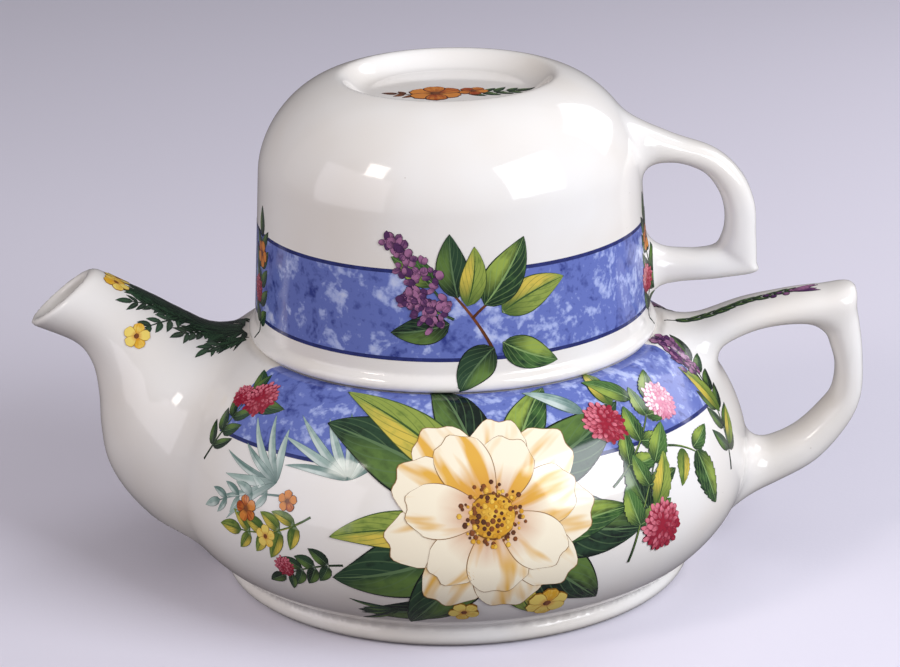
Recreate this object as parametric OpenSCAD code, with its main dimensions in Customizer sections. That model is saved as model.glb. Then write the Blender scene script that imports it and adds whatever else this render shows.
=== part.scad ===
// Porcelain tea for one: a squat teapot, its lid, and the teacup that is stored upside down on its shoulder.
// The origin is on the pot's axis at the foot plane, with the spout towards -X and both handles towards +X.

/* [Pot body] */
// Radius of the pot at its widest
pot_r = 72; // [67:1:84]
// Height of the seat that carries the cup
pot_h = 60; // [54:1:72]
// Height of the pot's widest circle
belly_z = 28; // [24:1:32]
// Wall of the pot
pot_wall = 4; // [3:0.5:5]
// Outer radius of the foot ring
foot_r = 58; // [54:1:62]
// Height of the foot ring's outer bead
foot_h = 5; // [4:0.5:7]
// Depth of the recess under the pot
foot_recess = 2.5; // [1.5:0.5:4]
// Width of the foot ring
foot_ring_w = 5; // [4:0.5:8]

/* [Mouth and lid] */
// Radius of the pot's mouth
mouth_r = 36; // [30:1:37]
// Width of the ledge that carries the lid
ledge_w = 5; // [4:0.5:5.5]
// Height of the ledge above the cup's seat
ledge_h = 2; // [1:0.5:4]
// Height of the collar above the ledge
collar_h = 4; // [3:0.5:6]
// Clearance round the lid's flange and its skirt
lid_gap = 0.6; // [0.3:0.1:1]
// Wall of the lid
lid_wall = 3; // [2.5:0.5:4]
// Rise of the lid's dome above its flange
dome_h = 8; // [5:1:14]
// Depth of the lid's skirt below the ledge
skirt_h = 8; // [5:1:12]
// Radius of the lid's knob
knob_r = 8.5; // [6:0.5:10]
// Diameter of the lid's vent hole
vent_d = 3; // [2:0.5:4]

/* [Cup] */
// Radius of the cup's lip
cup_r = 50; // [49:0.5:54]
// Height of the cup
cup_h = 63; // [56:1:76]
// Wall of the cup
cup_wall = 2.6; // [2:0.2:3.2]
// Thickness of the cup's base
cup_base = 3.2; // [2.6:0.2:4]
// Height of the lip's rounded bead
lip_h = 2.4; // [1.6:0.2:3]
// Draw-in of the wall above the lip
lip_flare = 1.9; // [1:0.1:2.4]
// Inward taper of the cup's wall up to its round
cup_taper = 2.2; // [0:0.2:5]
// Height of the dome-like round under the cup's foot
cup_round = 21; // [16:1:26]
// Radius of the crest that the cup stands on
cup_foot_r = 26.6; // [24:0.2:30]
// Half of the run from the crest down into the recess
cup_foot_w = 4; // [3:0.2:6]
// Depth of the recess inside the crest
cup_recess = 4; // [2:0.5:6]
// Clearance between the collar and the cup's wall
cup_gap = 0.9; // [0.5:0.1:1.5]

/* [Spout] */
// Reach of the spout past the pot's widest circle
spout_reach = 29; // [24:1:36]
// Height of the spout's top rim above the cup's seat
spout_above = 16; // [10:1:22]
// Depth of the spout where it leaves the pot
spout_root_d = 46; // [40:1:48]
// Diameter of the spout's mouth
spout_mouth_d = 19.6; // [17:0.2:22]
// Wall of the spout
spout_wall = 3; // [2.4:0.2:3.6]
// Diameter of the strainer holes
strainer_d = 4.6; // [3:0.2:5]
// Distance from one strainer hole to the next
strainer_pitch = 8; // [7:0.5:9]

/* [Pot handle] */
// Reach of the handle past the pot's widest circle
handle_reach = 28; // [24:1:36]
// Height of the handle's pointed top above the cup's seat
handle_above = 8.6; // [4:0.5:14]
// Thickness of the handle at its outer run
handle_t = 7; // [6:0.2:9]
// Width of the handle at its outer run
handle_w = 13; // [11:0.5:16]

/* [Cup handle] */
// Reach of the cup's handle past its lip
cup_handle_reach = 24; // [20:1:28]
// Thickness of the cup's handle at its outer run
cup_handle_t = 7.4; // [6:0.2:8]
// Width of the cup's handle at its outer run
cup_handle_w = 10; // [9:0.5:13]

/* [Printed bands] */
// Distance from the cup's lip to its blue band
cup_band_from = 7.8; // [5:0.2:12]
// Width of the cup's blue band
cup_band_w = 20.6; // [12:0.2:24]
// Share of the shoulder's curve that the pot's blue band covers
shoulder_band = 0.5; // [0.3:0.05:0.7]
// Thickness of the printed enamel
print_t = 0.12; // [0.08:0.02:0.2]

/* [Hidden] */

porcelain = "white";
band_blue = "cornflowerblue";

// How finely curves and lofts are divided
turn_fn = 96;
hole_fn = 24;
curve_steps = 12;
loft_steps = 3;
handle_sides = 18;
spout_sides = 30;
overcut = 1;

// Places that follow from the sizes above
seat_r = cup_r + 0.5;
cup_neck_r = cup_r - lip_flare;
collar_r = cup_neck_r - cup_wall - cup_gap;
gallery_r = mouth_r + ledge_w;
ledge_z = pot_h + ledge_h;
collar_z = ledge_z + collar_h;
floor_z = foot_recess + pot_wall;
foot_in_r = foot_r - foot_ring_w;
foot_neck_r = foot_r - 1.8;
edge_round = 0.8;
lip_in_r = cup_r - lip_flare - cup_wall + 2;
cup_round_z = cup_h - cup_round - 1;

// Points and curves

function mix(a, b, t) = a * (1 - t) + b * t;

function bezier_point(p, t) =
    p[0] * pow(1 - t, 3) + p[1] * 3 * t * pow(1 - t, 2) + p[2] * 3 * t * t * (1 - t) + p[3] * pow(t, 3);

function bezier(p, from = 0, to = 1) =
    [for (i = [0:curve_steps]) bezier_point(p, mix(from, to, i / curve_steps))];

function unit(v) = v / norm(v);

// A path moved sideways by a distance, to the right of its direction for a positive one
function shifted(path, distance) =
    let (last = len(path) - 1)
    [for (i = [0:last])
        let (along = unit(path[min(i + 1, last)] - path[max(i - 1, 0)]))
        path[i] + distance * [along[1], -along[0]]];

function reversed(list) = [for (i = [len(list) - 1:-1:0]) list[i]];

// A smooth run through a list of stations, each a vector of numbers
function smooth_between(a, b, c, d, t) =
    0.5 * ((2 * b) + (c - a) * t + (2 * a - 5 * b + 4 * c - d) * t * t + (3 * b - a - 3 * c + d) * t * t * t);

function smooth_run(stations, steps) =
    let (last = len(stations) - 1)
    [for (i = [0:last - 1], j = [0:i == last - 1 ? steps : steps - 1])
        smooth_between(
            stations[max(i - 1, 0)], stations[i], stations[i + 1], stations[min(i + 2, last)], j / steps)];

// A corner of a rounded section: 2 gives an ellipse, and a larger power a squarer one
function rounded(value, power) = sign(value) * pow(abs(value), 2 / power);

// The ring of points of one rib: [out, up, lean, thick, wide]
function rib_ring(rib, sides, power) =
    [for (k = [0:sides - 1])
        let (
            turn = 360 * (k + 0.5) / sides,
            across = rib[3] / 2 * rounded(cos(turn), power),
            side = rib[4] / 2 * rounded(sin(turn), power)
        )
        [rib[0] + across * cos(rib[2]), side, rib[1] + across * sin(rib[2])]];

// A solid lofted through ribs that stand in the XZ plane
module rib_loft(ribs, sides, power) {
    rings = [for (rib = ribs) rib_ring(rib, sides, power)];
    count = len(rings);
    points = [for (ring = rings) each ring];
    skin = [for (i = [0:count - 2], k = [0:sides - 1])
        let (
            a = i * sides + k,
            b = i * sides + (k + 1) % sides
        )
        each [[a, b, a + sides], [b, b + sides, a + sides]]];
    start_cap = [[for (k = [sides - 1:-1:0]) k]];
    end_cap = [[for (k = [0:sides - 1]) (count - 1) * sides + k]];
    polyhedron(points = points, faces = concat(skin, start_cap, end_cap), convexity = 6);
}

// Pot body

// Control points of the curve from the foot's neck out to the widest circle
lower_curve = [
    [foot_neck_r, foot_h],
    [foot_neck_r + (pot_r - foot_neck_r) * 0.5, foot_h + (belly_z - foot_h) * 0.17],
    [pot_r, foot_h + (belly_z - foot_h) * 0.56],
    [pot_r, belly_z]
];

// Control points of the shoulder, from the widest circle in to the cup's seat
upper_curve = [
    [pot_r, belly_z],
    [pot_r, belly_z + (pot_h - belly_z) * 0.38],
    [seat_r + (pot_r - seat_r) * 0.63, pot_h - (pot_h - belly_z) * 0.19],
    [seat_r, pot_h]
];

foot_bead = [
    [foot_r - 3.5, 0],
    [foot_r + 0.6, 0],
    [foot_r + 0.6, foot_h * 0.85],
    [foot_neck_r, foot_h]
];

// Inside of the pot, from its floor up to its mouth
inner_lower_curve = [
    [foot_neck_r - pot_wall - 6, floor_z],
    [foot_neck_r + 3, floor_z],
    [pot_r - pot_wall, belly_z - (belly_z - floor_z) * 0.46],
    [pot_r - pot_wall, belly_z]
];

module pot_outside() {
    rotate_extrude($fn = turn_fn)
        polygon(concat(
            [[0, foot_recess], [foot_in_r - foot_recess, foot_recess], [foot_in_r, 0]],
            bezier(foot_bead),
            bezier(lower_curve),
            bezier(upper_curve),
            [
                [collar_r, pot_h],
                [collar_r, collar_z - edge_round],
                [collar_r - edge_round, collar_z],
                [0, collar_z]
            ]
        ));
}

module pot_inside() {
    inner_shoulder = shifted(bezier(upper_curve), -pot_wall);
    rotate_extrude($fn = turn_fn)
        polygon(concat(
            [[0, floor_z]],
            bezier(inner_lower_curve),
            inner_shoulder,
            [
                [mouth_r, pot_h - pot_wall],
                [mouth_r, ledge_z],
                [gallery_r, ledge_z],
                [gallery_r, collar_z - edge_round],
                [gallery_r + edge_round, collar_z],
                [gallery_r + edge_round, collar_z + overcut],
                [0, collar_z + overcut]
            ]
        ));
}

// The blue field printed on the shoulder, from the cup's seat down
module pot_band() {
    print_line = bezier(upper_curve, 1 - shoulder_band, 0.97);
    rotate_extrude($fn = turn_fn)
        polygon(concat(shifted(print_line, print_t), reversed(shifted(print_line, -1))));
}

// Spout

spout_top = pot_h + spout_above;

// Stations of the spout as shares: [reach past the pot, height, lean, depth, width].
// A depth or width of 1 is the root's, and 0 is the mouth's.
spout_stations = [
    [-0.79, 0.33, 64, 0.85, 1.22],
    [-0.48, 0.385, 59, 1, 1.14],
    [-0.23, 0.465, 52, 1, 1.03],
    [-0.04, 0.56, 46.5, 0.88, 0.84],
    [0.09, 0.65, 45.5, 0.61, 0.61],
    [0.2, 0.73, 48, 0.32, 0.36],
    [0.335, 0.808, 51, 0.07, 0.14],
    [0.51, 0.865, 51, -0.04, 0.02],
    [0.8, 0.917, 38, 0.04, 0]
];

function spout_rib(station, wall) = [
    pot_r + station[0] * spout_reach,
    station[1] * spout_top,
    180 - station[2],
    mix(spout_mouth_d, spout_root_d, station[3]) - 2 * wall,
    mix(spout_mouth_d, spout_root_d, station[4]) - 2 * wall
];

module spout_form(wall, past_mouth) {
    ribs = [for (station = smooth_run(spout_stations, loft_steps)) spout_rib(station, wall)];
    mouth = ribs[len(ribs) - 1];
    outlet = mouth + past_mouth * [sin(mouth[2]), -cos(mouth[2]), 0, 0, 0];
    mirror([1, 0, 0])
        rib_loft(past_mouth > 0 ? concat(ribs, [outlet]) : ribs, spout_sides, 2);
}

// Pierced holes through the pot's wall inside the root of the spout
module strainer() {
    hole_z = belly_z + 3;
    hole(0, hole_z);
    for (turn = [0:60:300])
        hole(strainer_pitch * cos(turn), hole_z + strainer_pitch * sin(turn));
}

module hole(y, z) {
    translate([-pot_r - overcut, y, z])
        rotate([0, 90, 0])
            cylinder(h = 3 * pot_wall, d = strainer_d, $fn = hole_fn);
}

// Pot handle

handle_top = pot_h + handle_above;

// Stations of the handle as shares: [reach past the pot, height, lean, thickness, width]
handle_stations = [
    [-0.86, 0.765, 120, 1.3, 1.75],
    [-0.55, 0.79, 127, 1.55, 1.65],
    [-0.285, 0.846, 122, 1.1, 1.45],
    [0, 0.893, 108, 0.95, 1.35],
    [0.295, 0.917, 94, 1, 1.27],
    [0.58, 0.925, 68, 1.34, 1.2],
    [0.785, 0.913, 58, 1.96, 1.08],
    [0.835, 0.845, 51, 1.5, 1.02],
    [0.89, 0.72, 25, 1.02, 1],
    [0.875, 0.595, -6, 1, 1],
    [0.76, 0.505, -34, 1.14, 1.04],
    [0.525, 0.403, -53, 1.3, 1.12],
    [0.23, 0.34, -72, 1.42, 1.25],
    [-0.07, 0.303, -88, 1.75, 1.5],
    [-0.36, 0.285, -90, 2.1, 1.75]
];

function handle_rib(station) = [
    pot_r + station[0] * handle_reach,
    station[1] * handle_top,
    station[2],
    station[3] * handle_t,
    station[4] * handle_w
];

module pot_handle() {
    rib_loft([for (station = smooth_run(handle_stations, loft_steps)) handle_rib(station)], handle_sides, 2.4);
}

module teapot() {
    difference() {
        union() {
            color(porcelain) pot_outside();
            color(band_blue) pot_band();
            color(porcelain) pot_handle();
            color(porcelain)
                difference() {
                    spout_form(0, 0);
                    difference() {
                        spout_form(spout_wall, overcut);
                        pot_outside();
                    }
                }
        }
        pot_inside();
        strainer();
    }
}

// Lid

flange_r = gallery_r - lid_gap;
flange_z = ledge_z + lid_wall;
skirt_r = mouth_r - lid_gap;
knob_neck_r = knob_r * 0.6;
knob_z = flange_z + dome_h + knob_r * 1.15;
vent_r = mouth_r * 0.45;

// The dome's outside, from the flange up to the neck of the knob
dome_curve = [
    [flange_r - 2, flange_z],
    [mouth_r * 0.7, flange_z + dome_h * 0.55],
    [mouth_r * 0.4, flange_z + dome_h],
    [knob_neck_r, flange_z + dome_h]
];

module lid() {
    color(porcelain)
        difference() {
            union() {
                rotate_extrude($fn = turn_fn)
                    polygon(concat(
                        [
                            [skirt_r - lid_wall, ledge_z - skirt_h],
                            [skirt_r, ledge_z - skirt_h],
                            [skirt_r, ledge_z],
                            [flange_r, ledge_z],
                            [flange_r, flange_z - edge_round],
                            [flange_r - edge_round, flange_z]
                        ],
                        bezier(dome_curve),
                        [[0, flange_z + dome_h], [0, flange_z + dome_h - lid_wall]],
                        reversed(shifted(bezier(dome_curve, 0.15), -lid_wall)),
                        [[skirt_r - lid_wall, ledge_z]]
                    ));
                knob();
            }
            translate([vent_r, 0, ledge_z])
                cylinder(h = dome_h + 2 * lid_wall, d = vent_d, $fn = hole_fn);
        }
}

module knob() {
    translate([0, 0, flange_z + dome_h - lid_wall / 2])
        cylinder(h = knob_z - flange_z - dome_h, r = knob_neck_r, $fn = turn_fn);
    translate([0, 0, knob_z])
        sphere(r = knob_r, $fn = turn_fn / 2);
}

// Cup, upside down: its lip is at the pot's seat

cup_top = pot_h + cup_h;
cup_shoulder_r = cup_neck_r - cup_taper;

// The lip's rounded bead, drawn in underneath so that it seats on a narrow ring
lip_bead = [
    [cup_r - 1.9, 0],
    [cup_r, 0.1],
    [cup_r + 0.6, lip_h * 0.92],
    [cup_neck_r, lip_h + 1.4]
];

// The round from the wall up to the crest
cup_curve = [
    [cup_shoulder_r, cup_round_z],
    [cup_shoulder_r - 0.6, cup_round_z + cup_round * 0.43],
    [cup_foot_r + (cup_shoulder_r - cup_foot_r) * 0.58, cup_h - 2.1],
    [cup_foot_r, cup_h]
];

// From the crest down to the floor of the recess
dish_curve = [
    [cup_foot_r, cup_h],
    [cup_foot_r - cup_foot_w * 0.65, cup_h + 0.25],
    [cup_foot_r - cup_foot_w * 0.85, cup_h - cup_recess],
    [cup_foot_r - cup_foot_w * 2, cup_h - cup_recess]
];

inner_round_z = cup_round_z - 1;
inner_top = cup_h - cup_recess - cup_base;

cup_inner_curve = [
    [cup_shoulder_r - cup_wall, inner_round_z],
    [cup_shoulder_r - cup_wall - 0.5, inner_round_z + (inner_top - inner_round_z) * 0.6],
    [cup_shoulder_r - cup_wall - 8, inner_top],
    [cup_foot_r - cup_foot_w, inner_top]
];

module cup_outside() {
    rotate_extrude($fn = turn_fn)
        polygon(concat(
            [[0, 0]],
            bezier(lip_bead),
            bezier(cup_curve),
            bezier(dish_curve),
            [[0, cup_h - cup_recess]]
        ));
}

module cup_inside() {
    rotate_extrude($fn = turn_fn)
        polygon(concat(
            [
                [0, -overcut],
                [lip_in_r, -overcut],
                [lip_in_r, 0],
                [lip_in_r - 0.5, 0.6],
                [cup_neck_r - cup_wall, lip_h + 1.4]
            ],
            bezier(cup_inner_curve),
            [[0, inner_top]]
        ));
}

// The blue field printed round the cup
module cup_band() {
    wall_slope = cup_taper / (cup_round_z - lip_h - 1.4);
    low_z = cup_band_from;
    high_z = low_z + cup_band_w;
    low_r = cup_neck_r - wall_slope * (low_z - lip_h - 1.4);
    high_r = cup_neck_r - wall_slope * (high_z - lip_h - 1.4);
    rotate_extrude($fn = turn_fn)
        polygon([
            [low_r - 1, low_z],
            [low_r + print_t, low_z],
            [high_r + print_t, high_z],
            [high_r - 1, high_z]
        ]);
}

// Stations of the cup's handle: [share of the reach past the lip, share of the cup's height, lean, thickness, width]
cup_handle_stations = [
    [-0.375, 0.722, 103, 1.24, 1.4],
    [-0.156, 0.717, 98, 1.36, 1.3],
    [0.208, 0.687, 88, 0.83, 1.1],
    [0.52, 0.64, 52, 0.83, 1.04],
    [0.715, 0.562, 24, 0.95, 1],
    [0.815, 0.467, 8, 1, 1],
    [0.83, 0.37, -16, 1.07, 1],
    [0.815, 0.286, -33, 1.42, 0.98],
    [0.777, 0.248, -31, 1.68, 0.92],
    [0.5, 0.232, -42, 1.38, 1.04],
    [0.19, 0.23, -68, 1.12, 1.16],
    [-0.105, 0.233, -88, 1.42, 1.4],
    [-0.33, 0.233, -90, 1.75, 1.6]
];

function cup_handle_rib(station) = [
    cup_r + station[0] * cup_handle_reach,
    station[1] * cup_h,
    station[2],
    station[3] * cup_handle_t,
    station[4] * cup_handle_w
];

module cup_handle() {
    rib_loft(
        [for (station = smooth_run(cup_handle_stations, loft_steps)) cup_handle_rib(station)], handle_sides, 2.4);
}

module cup() {
    translate([0, 0, pot_h])
        difference() {
            union() {
                color(porcelain) cup_outside();
                color(band_blue) cup_band();
                color(porcelain) cup_handle();
            }
            cup_inside();
        }
}

teapot();
lid();
cup();
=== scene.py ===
"""Dresses the porcelain tea-for-one set: the teapot, its lid and the cup stored upside down on its shoulder.

Sizes are in millimetres until a mesh is made, and the frame is the part's own: +Z up, the spout towards -X
and both handles towards +X. The scene's meshes keep the forms of the solids and add the soft joints of
slip-cast porcelain. The print is made of thin painted patches that lie on the glaze.
"""

from __future__ import annotations

import logging
import math
from dataclasses import dataclass
from enum import Enum
from typing import Callable, Iterable, Sequence

import bpy
import numpy as np
from mathutils import Matrix, Vector

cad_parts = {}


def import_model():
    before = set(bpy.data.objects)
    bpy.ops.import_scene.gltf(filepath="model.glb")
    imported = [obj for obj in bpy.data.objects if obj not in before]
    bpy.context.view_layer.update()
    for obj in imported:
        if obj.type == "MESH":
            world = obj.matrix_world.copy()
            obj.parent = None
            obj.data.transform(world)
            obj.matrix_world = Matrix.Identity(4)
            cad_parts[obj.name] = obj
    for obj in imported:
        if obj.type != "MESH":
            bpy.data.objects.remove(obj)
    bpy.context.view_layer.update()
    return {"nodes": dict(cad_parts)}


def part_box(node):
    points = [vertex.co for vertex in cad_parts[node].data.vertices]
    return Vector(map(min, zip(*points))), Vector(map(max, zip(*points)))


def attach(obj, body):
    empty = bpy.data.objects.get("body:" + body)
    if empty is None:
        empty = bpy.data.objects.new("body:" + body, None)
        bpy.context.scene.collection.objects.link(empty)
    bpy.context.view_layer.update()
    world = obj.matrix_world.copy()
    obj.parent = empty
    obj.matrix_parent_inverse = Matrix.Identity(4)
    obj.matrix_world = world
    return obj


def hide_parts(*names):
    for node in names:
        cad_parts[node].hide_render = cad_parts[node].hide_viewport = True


log = logging.getLogger("tea_for_one")

MM = 0.001
TINY = 1e-9
BODY = "root"
TONE = "tone"

Array = np.ndarray
Field = Callable[[Array], Array]
Pair = tuple[float, float]
Triple = tuple[float, float, float]
Mesh = bpy.types.Mesh
Piece = bpy.types.Object
Material = bpy.types.Material
Tree = bpy.types.NodeTree
Node = bpy.types.Node
Socket = bpy.types.NodeSocket


# Curves and blends


def bezier(points: Sequence[Sequence[float]], steps: int, first: float = 0.0, last: float = 1.0) -> Array:
    """Samples a cubic Bezier curve.

    Args:
        points: Its four control points.
        steps: How many stretches it is divided into.
        first: Where on the curve to start.
        last: Where on the curve to end.

    Returns:
        The points, one row each.
    """
    t = np.linspace(first, last, steps + 1)[:, None]
    p = np.asarray(points, float)
    return p[0] * (1 - t) ** 3 + p[1] * 3 * t * (1 - t) ** 2 + p[2] * 3 * t * t * (1 - t) + p[3] * t**3


def smooth_run(stations: Sequence[Sequence[float]], steps: int) -> Array:
    """Runs a Catmull-Rom curve through a list of stations.

    Args:
        stations: The stations, each a list of numbers.
        steps: Samples from one station to the next.

    Returns:
        The samples, one row each.
    """
    s = np.asarray(stations, float)
    rows = []
    for i in range(len(s) - 1):
        a, b, c, d = s[max(i - 1, 0)], s[i], s[i + 1], s[min(i + 2, len(s) - 1)]
        for t in np.linspace(0, 1, steps, endpoint=False):
            cubic = 3 * b - a - 3 * c + d
            rows.append(0.5 * (2 * b + (c - a) * t + (2 * a - 5 * b + 4 * c - d) * t * t + cubic * t**3))
    rows.append(s[-1])
    return np.array(rows)


def soft_min(a: Array, b: Array, reach: float) -> Array:
    """Joins two forms with a fillet of about the given reach, where each array is a signed distance."""
    near = np.maximum(reach - np.abs(a - b), 0) / reach
    return np.minimum(a, b) - near * near * reach / 4


def soft_max(a: Array, b: Array, reach: float) -> Array:
    """Keeps what two forms share, with the edge between them rounded by about the given reach."""
    return -soft_min(-a, -b, reach)


def linear(hex_colour: str) -> tuple[float, float, float, float]:
    """Turns an sRGB hex colour such as #f2efe9 to linear light.

    Args:
        hex_colour: The colour, with its leading hash.

    Returns:
        Red, green, blue and an alpha of 1.
    """
    parts = [int(hex_colour[i : i + 2], 16) / 255 for i in (1, 3, 5)]
    bright = [c / 12.92 if c <= 0.04045 else ((c + 0.055) / 1.055) ** 2.4 for c in parts]
    return (bright[0], bright[1], bright[2], 1.0)


# Forms as signed distances


class TurnedForm:
    """A solid turned about Z from a closed outline of [radius, height] points."""

    STEP = 0.3
    MARGIN = 16.0

    def __init__(self, outline: Array, softenings: int = 4) -> None:
        """Works out the table of distances once, and softens its corners as glaze does.

        Args:
            outline: The corners of the outline, in order.
            softenings: How often each distance is mixed with those beside it.
        """
        self.outline = np.asarray(outline, float)
        top = self.outline.max(0) + self.MARGIN
        self.low = np.array([0.0, self.outline[:, 1].min() - self.MARGIN])
        self.radii = np.arange(self.low[0], top[0], self.STEP)
        self.heights = np.arange(self.low[1], top[1], self.STEP)
        grid = np.stack(np.meshgrid(self.radii, self.heights, indexing="ij"), -1).reshape(-1, 2)
        table = self._signed(grid).reshape(len(self.radii), len(self.heights))
        for _ in range(softenings):
            table[1:-1] = (table[:-2] + 2 * table[1:-1] + table[2:]) / 4
            table[:, 1:-1] = (table[:, :-2] + 2 * table[:, 1:-1] + table[:, 2:]) / 4
        self.table = table

    def _signed(self, points: Array) -> Array:
        """The signed distance of points in the outline's own plane."""
        nearest = np.full(len(points), np.inf)
        inside = np.zeros(len(points), bool)
        corners = self.outline
        for a, b in zip(corners, np.roll(corners, -1, 0)):
            along = b - a
            length = along @ along
            if length < TINY**2:
                continue
            on_axis = a[0] < TINY and b[0] < TINY
            rel = points - a
            t = np.clip(rel @ along / length, 0, 1)
            gap = np.hypot(rel[:, 0] - t * along[0], rel[:, 1] - t * along[1])
            if not on_axis:
                nearest = np.minimum(nearest, gap)
            if a[1] != b[1]:
                crosses = (a[1] > points[:, 1]) != (b[1] > points[:, 1])
                cut = a[0] + (points[:, 1] - a[1]) / (b[1] - a[1]) * along[0]
                inside ^= crosses & (points[:, 0] < cut)
        return np.where(inside, -nearest, nearest)

    def distance(self, points: Array) -> Array:
        """The signed distance of points in space, below zero inside."""
        r = np.hypot(points[:, 0], points[:, 1])
        return read_table(self.table, self.low, self.STEP, np.stack([r, points[:, 2]], 1))


def read_table(table: Array, low: Array, step: float, places: Array) -> Array:
    """Reads a two-way table between its samples.

    Args:
        table: The samples.
        low: The place of the first sample.
        step: The distance between samples.
        places: Where to read, one row each.

    Returns:
        One value for each place.
    """
    at = (places - low) / step
    size = np.array(table.shape) - 1.001
    at = np.clip(at, 0, size)
    cell = at.astype(int)
    i, j = cell[:, 0], cell[:, 1]
    u, v = at[:, 0] - i, at[:, 1] - j
    near = table[i, j] * (1 - u) + table[i + 1, j] * u
    far = table[i, j + 1] * (1 - u) + table[i + 1, j + 1] * u
    return near * (1 - v) + far * v


class RibTube:
    """A tube whose rounded sections stand in planes square to the XZ plane, each with its own lean.

    Its ribs are rows of out, up, lean in degrees, depth and width.
    """

    STEP = 0.4
    MARGIN = 16.0
    OUTSIDE = 6.0
    END_SHARE = 3.0
    DEEPEST = 40.0
    LEAST_SIZE = 1e-3
    LEAST_SLOPE = 1e-4

    def __init__(self, ribs: Array, power: float = 2.0, mirrored: bool = False) -> None:
        """Works out, for each place in the XZ plane, which rib passes there and how far out on it.

        Args:
            ribs: The ribs, one row each.
            power: How square their sections are, where 2 is an ellipse.
            mirrored: Whether the tube points towards -X.
        """
        self.power = power
        self.sign = -1.0 if mirrored else 1.0
        out, up, lean, depth, width = ribs.T
        axis = np.stack([np.cos(np.radians(lean)), np.sin(np.radians(lean))], 1)
        centre = np.stack([out, up], 1)
        tips = np.concatenate([centre + axis * depth[:, None] / 2, centre - axis * depth[:, None] / 2])
        self.low = tips.min(0) - self.MARGIN
        self.high = tips.max(0) + self.MARGIN
        xs = np.arange(self.low[0], self.high[0], self.STEP)
        zs = np.arange(self.low[1], self.high[1], self.STEP)
        places = np.stack(np.meshgrid(xs, zs, indexing="ij"), -1).reshape(-1, 2)
        tables = self._sweep(places, centre, axis, depth / 2, width / 2)
        self.share, self.half_depth, self.half_width = (t.reshape(len(xs), len(zs)) for t in tables)

    def _sweep(self, places: Array, centre: Array, axis: Array, depth: Array, width: Array) -> list[Array]:
        """Finds the rib at each place, among the ribs and those between them.

        Args:
            places: The places in the XZ plane, one row each.
            centre: The middle of each rib.
            axis: The way each rib leans.
            depth: Half of each rib's depth.
            width: Half of each rib's width.

        Returns:
            How far out each place lies, as a share of its rib's half depth, and that half depth and half
            width.
        """

        def from_rib(i: int) -> tuple[Array, Array]:
            """How far along a rib each place lies, and how far off it."""
            rel = places - centre[i]
            return rel @ axis[i], rel[:, 1] * axis[i, 0] - rel[:, 0] * axis[i, 1]

        along, off = from_rib(0)
        ahead = centre[1] - centre[0]
        behind = -off * np.sign(ahead[1] * axis[0, 0] - ahead[0] * axis[0, 1])
        here = np.abs(along) / depth[0]
        near = (behind > 0) & (behind < self.MARGIN) & (here < self.END_SHARE)
        share = np.where(near, here + behind / depth[0], self.OUTSIDE)
        half_depth = np.where(near, depth[0], depth.max())
        half_width = np.where(near, width[0], width.max())
        for i in range(1, len(centre)):
            along_before, off_before = along, off
            along, off = from_rib(i)
            span = off_before - off
            apart = np.abs(span) > TINY
            t = np.where(apart, off_before / np.where(apart, span, 1), 0)
            d = depth[i - 1] * (1 - t) + depth[i] * t
            w = width[i - 1] * (1 - t) + width[i] * t
            here = (along_before * (1 - t) + along * t) / d
            take = (off * off_before <= 0) & (np.abs(here) < np.abs(share))
            share = np.where(take, here, share)
            half_depth = np.where(take, d, half_depth)
            half_width = np.where(take, w, half_width)
        return [share, half_depth, half_width]

    def distance(self, points: Array) -> Array:
        """About the signed distance of points in space, below zero inside."""
        result = np.full(len(points), self.MARGIN)
        x = points[:, 0] * self.sign
        z = points[:, 2]
        pad = self.STEP
        inside = (x > self.low[0] + pad) & (x < self.high[0] - 2 * pad)
        inside &= (z > self.low[1] + pad) & (z < self.high[1] - 2 * pad)
        if not inside.any():
            return result
        places = np.stack([x[inside], z[inside]], 1)
        n = np.abs(read_table(self.share, self.low, self.STEP, places))
        a = read_table(self.half_depth, self.low, self.STEP, places)
        b = read_table(self.half_width, self.low, self.STEP, places)
        m = np.abs(points[inside, 1]) / b
        p = self.power
        size = np.maximum((n**p + m**p) ** (1 / p), self.LEAST_SIZE)
        slope_n = (n / size) ** (p - 1) / a
        slope_m = (m / size) ** (p - 1) / b
        steep = np.maximum(np.hypot(slope_n, slope_m), self.LEAST_SLOPE)
        result[inside] = np.clip((size - 1) / steep, -self.DEEPEST, self.MARGIN)
        return result


# Smooth meshes of those forms


def slope(form: Field, points: Array, reach: float = 0.05) -> Array:
    """The gradient of a field at points, from small steps to each side.

    Args:
        form: The signed distance.
        points: Where to look.
        reach: The length of a step.

    Returns:
        One gradient for each point.
    """
    columns = []
    for axis in range(3):
        step = np.zeros(3)
        step[axis] = reach
        columns.append((form(points + step) - form(points - step)) / (2 * reach))
    return np.stack(columns, 1)


def outward(form: Field, points: Array) -> Array:
    """The way a form's surface faces at points, each of length 1."""
    grad = slope(form, points)
    return grad / np.maximum(np.linalg.norm(grad, axis=1), TINY)[:, None]


def settle(form: Field, points: Array, rounds: int, limit: float = 0.8, least_steep: float = 0.05) -> Array:
    """Moves points along the gradient until they lie on a form's surface.

    Args:
        form: The signed distance.
        points: Where the points start.
        rounds: How many steps each takes.
        limit: The longest step.
        least_steep: The least squared steepness that a step reckons with.

    Returns:
        The settled points.
    """
    for _ in range(rounds):
        value = form(points)
        grad = slope(form, points)
        steep = np.maximum((grad * grad).sum(1), least_steep)
        move = np.clip(value / steep, -limit, limit)
        points = points - move[:, None] * grad
    return points


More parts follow.
